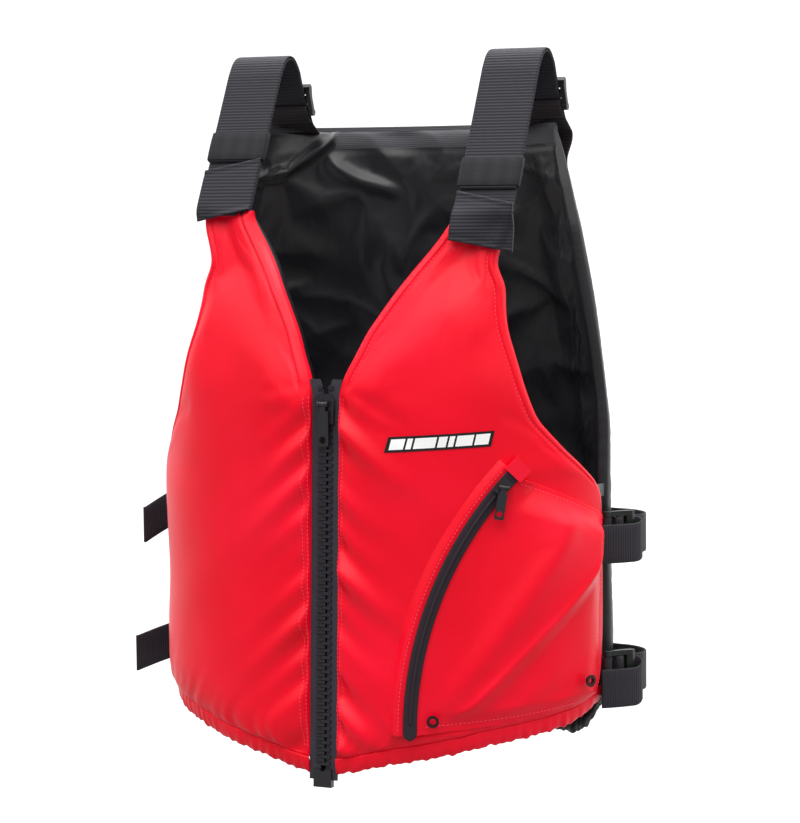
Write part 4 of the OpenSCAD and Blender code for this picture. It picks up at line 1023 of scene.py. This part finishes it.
# ---- Label and stitching ---------------------------------------------------
# A slanted black plate printed with plain white bars, heat-pressed on the left
# chest, and the lines of thread that hold the covers, zips and pocket.
# Screen ink: one flat matt white and one flat matt black, slightly filled by the weave.
white_ink = moulded("white_ink", "#f4f4f2", 0.55, 0.3, 60)
black_ink = moulded("black_ink", "#141114", 0.5, 0.3, 60)


def plate(parts, a0, a1, b0, b1, lift, nu, material):
    """Adds one slanted patch of the label: a0..a1 of its length, b0..b1 of its height."""
    a, b = np.meshgrid(np.linspace(a0, a1, nu), np.linspace(b0, b1, 5), indexing="ij")
    phi = 16.6 + 26.9 * (a + 0.035 * (b - 0.5))
    z = 269 + 5 * a + 12.5 * b
    p = on_panel(1, phi, z, lift)[0]
    parts.append((np.concatenate([p.reshape(-1, 3), on_panel(1, phi, z, 0.05)[0].reshape(-1, 3)]),
                  shell_quads(nu, 5), material))


parts = []
plate(parts, 0, 1, 0, 1, 0.45, 60, 1)
at = 0.035
for w in (0.13, 0.05, 0.2, 0.08, 0.05, 0.16, 0.14):
    plate(parts, at, at + w, 0.16, 0.84, 0.62, 12, 0)
    at += w + 0.02
start = np.cumsum([0] + [len(c) for c, _, _ in parts[:-1]])
ob = mesh_piece("chest_label", np.concatenate([c for c, _, _ in parts]),
                np.concatenate([q + s for (_, q, _), s in zip(parts, start)]), None,
                [white_ink, black_ink], np.concatenate([np.full(len(q), m) for _, q, m in parts]),
                False)
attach(ob, "vest")
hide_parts("label_patch")

# Bonded polyester thread, a lighter red than the cloth.
red_thread = moulded("red_thread", "#ff4a66", 0.45, 0.4, 300)


def stitches(name, lines, thread, body="vest", pitch=3.4, long=2.5, thick=0.42):
    """Rows of thread dashes: each is a four-sided spindle half sunk in the cloth.
    lines is a list of (points, normals) along which the rows run."""
    co, faces, n0 = [], [], 0
    ring = np.array([(1, 0), (0, 1), (-1, 0), (0, -1)]) * thick
    for p, n in lines:
        p, n = np.asarray(p, float), np.asarray(n, float)
        d = np.concatenate([[0], np.cumsum(np.linalg.norm(np.diff(p, axis=0), axis=1))])
        s = np.arange(pitch / 2, d[-1] - pitch / 2, pitch)
        at = lambda q, x: np.stack([np.interp(q, d, x[:, i]) for i in range(3)], -1)
        c, nn = at(s, p), at(s, n)
        t = at(s + 0.5, p) - at(s - 0.5, p)
        t /= np.linalg.norm(t, axis=1, keepdims=True)
        side = np.cross(t, nn)
        m = len(s)
        if m == 0:
            continue
        rows = [c - t * long / 2 - nn * 0.25]
        for k, l in ((0.9, -0.28), (0.9, 0.28)):
            for a, b in ring * k:
                rows.append(c + t * long * l + side * a + nn * (b + 0.12))
        rows.append(c + t * long / 2 - nn * 0.25)
        v = np.stack(rows, 1).reshape(-1, 3)
        i = np.arange(m)[:, None] * 10 + n0
        for k in range(4):
            j = (k + 1) % 4
            faces += (i + np.array([0, 1 + j, 1 + k])).tolist()
            faces += (i + np.array([1 + k, 1 + j, 5 + j, 5 + k])).tolist()
            faces += (i + np.array([5 + k, 5 + j, 9])).tolist()
        co.append(v)
        n0 += m * 10
    me = bpy.data.meshes.new(name)
    me.from_pydata((np.concatenate(co) * 0.001).tolist(), [], faces)
    me.materials.append(thread)
    me.polygons.foreach_set("use_smooth", np.ones(len(me.polygons), bool))
    ob = bpy.data.objects.new(name, me)
    bpy.context.scene.collection.objects.link(ob)
    face_out(ob)
    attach(ob, body)
    return ob


for side, word in ((1, "left"), (-1, "right")):
    z = np.linspace(26, ZIP_TOP - 4, 260)
    rows = [on_panel(side, phi_in(z) + mm / front_mm(phi_in(z), z), z) for mm in (1.6, 5.0)]
    z = np.linspace(ZIP_TOP + 8, FRONT_TOP - 14, 140)
    rows.append(on_panel(side, phi_in(z) + 9 / front_mm(phi_in(z), z), z))
    z = np.linspace(ARM_LOW + 16, FRONT_TOP - 16, 160)
    rows.append(on_panel(side, phi_out(z) - 9 / front_mm(phi_out(z), z), z))
    stitches("cover_stitching_" + word, rows, red_thread, thick=0.34)

grid, nn, u, v = pocket[1:]


def along_pocket(k, j0=3, j1=-3):
    i = int(np.argmin(np.abs(u[:, 0] - k)))
    return grid[i, j0:j1], nn[i, j0:j1]


def across_pocket(k, i0=0.1):
    j = int(np.argmin(np.abs(v[0] - k)))
    i = int(np.argmin(np.abs(u[:, 0] - i0)))
    return grid[i:-3, j], nn[i:-3, j]


stitches("pocket_stitching", [along_pocket(0.003), along_pocket(0.067), along_pocket(0.955),
                              across_pocket(0.03), across_pocket(0.975)], red_thread, thick=0.34)

# ---- Studio ----------------------------------------------------------------
# A pale floor that sweeps up behind the hanging vest and glows with painted light
# further back, with a large soft light overhead to the front, a fill from each side
# and an even pale surround.
line = np.array([[-30.0, 0], [0.6, 0], [1.6, 0]] + [[1.6 + 1.2 * math.sin(t), 1.2 - 1.2 * math.cos(t)]
                                         for t in np.linspace(0.1, 1.5, 12)] + [[2.82, 4.5]])
line[:, 1] -= 0.42
co = [(x * 1000, y * 1000, z * 1000) for y, z in line for x in (-20, 20)]
sweep = mesh_piece("paper_sweep", co, grid_quads(len(line), 2, 0, True))
paper, pt, ps = finish_named("paper_painted_glow", 0.9, base="#8a8a8a", Emission_Color=(1, 1, 1, 1))
# The paper glows by its own emission, painted light that brightens it from 0.6 m behind the vest
# onwards.
far = add(pt, "SeparateXYZ", None, {0: add(pt, "TexCoord").outputs["Object"]})
glow = add(pt, "MapRange", None, {"Value": far.outputs["Y"], "From Min": 0.6, "From Max": 1.5,
                                  "To Min": 0.0, "To Max": 0.75})
pt.links.new(glow.outputs[0], ps.inputs["Emission Strength"])
sweep.data.materials.append(paper)

world = bpy.data.worlds.new("studio_air")
bpy.context.scene.world = world
world.use_nodes = True
wt = world.node_tree
up = add(wt, "SeparateXYZ", None, {0: add(wt, "TexCoord").outputs["Generated"]})
dome = add(wt, "ValToRGB", None, {"Fac": up.outputs["Z"]})
dome.color_ramp.elements[0].position, dome.color_ramp.elements[0].color = 0.25, (0.07, 0.07, 0.07, 1)
dome.color_ramp.elements[1].position, dome.color_ramp.elements[1].color = 0.7, (1, 1, 1, 1)
wt.links.new(dome.outputs[0], wt.nodes["Background"].inputs[0])
wt.nodes["Background"].inputs[1].default_value = 2.45


def soft_light(name, at, to, size, power):
    d = bpy.data.lights.new(name, "AREA")
    d.shape, d.size, d.energy = "DISK", size, power
    ob = bpy.data.objects.new(name, d)
    ob.location = at
    v = np.array(at, float) - np.array(to, float)
    ob.rotation_euler = (math.atan2(math.hypot(v[0], v[1]), v[2]), 0,
                         math.atan2(v[1], v[0]) + math.pi / 2)
    bpy.context.scene.collection.objects.link(ob)


soft_light("overhead_softbox", (0.3, -1.3, 2.3), (0, 0, 0.3), 1.3, 13)
soft_light("left_fill", (-2.4, -1.6, 0.8), (0, 0, 0.25), 1.6, 2.5)
soft_light("right_fill", (2.6, -1.2, 0.9), (0, 0, 0.25), 1.4, 2.5)
soft_light("paper_light", (0, 1.1, 2.6), (0, 2.6, 0.6), 2.0, 80)

TURN, TILT, ROLL, FAR = math.radians(24.5), math.radians(5.0), math.radians(-0.6), 2.2
lens = bpy.data.cameras.new("camera")
lens.sensor_width, lens.lens, lens.shift_x, lens.clip_end = 36, 113.0, 13 / 823, 40
eye = bpy.data.objects.new("camera", lens)
eye.location = (FAR * math.sin(TURN) * math.cos(TILT), -FAR * math.cos(TURN) * math.cos(TILT),
                0.290 + FAR * math.sin(TILT))
eye.rotation_mode = "QUATERNION"
eye.rotation_quaternion = Vector((-eye.location.x, -eye.location.y, 0.290 - eye.location.z)
                                 ).to_track_quat("-Z", "Y") @ Quaternion((0, 0, 1), ROLL)
bpy.context.scene.collection.objects.link(eye)
bpy.context.scene.camera = eye
bpy.context.scene.view_settings.view_transform = "Standard"
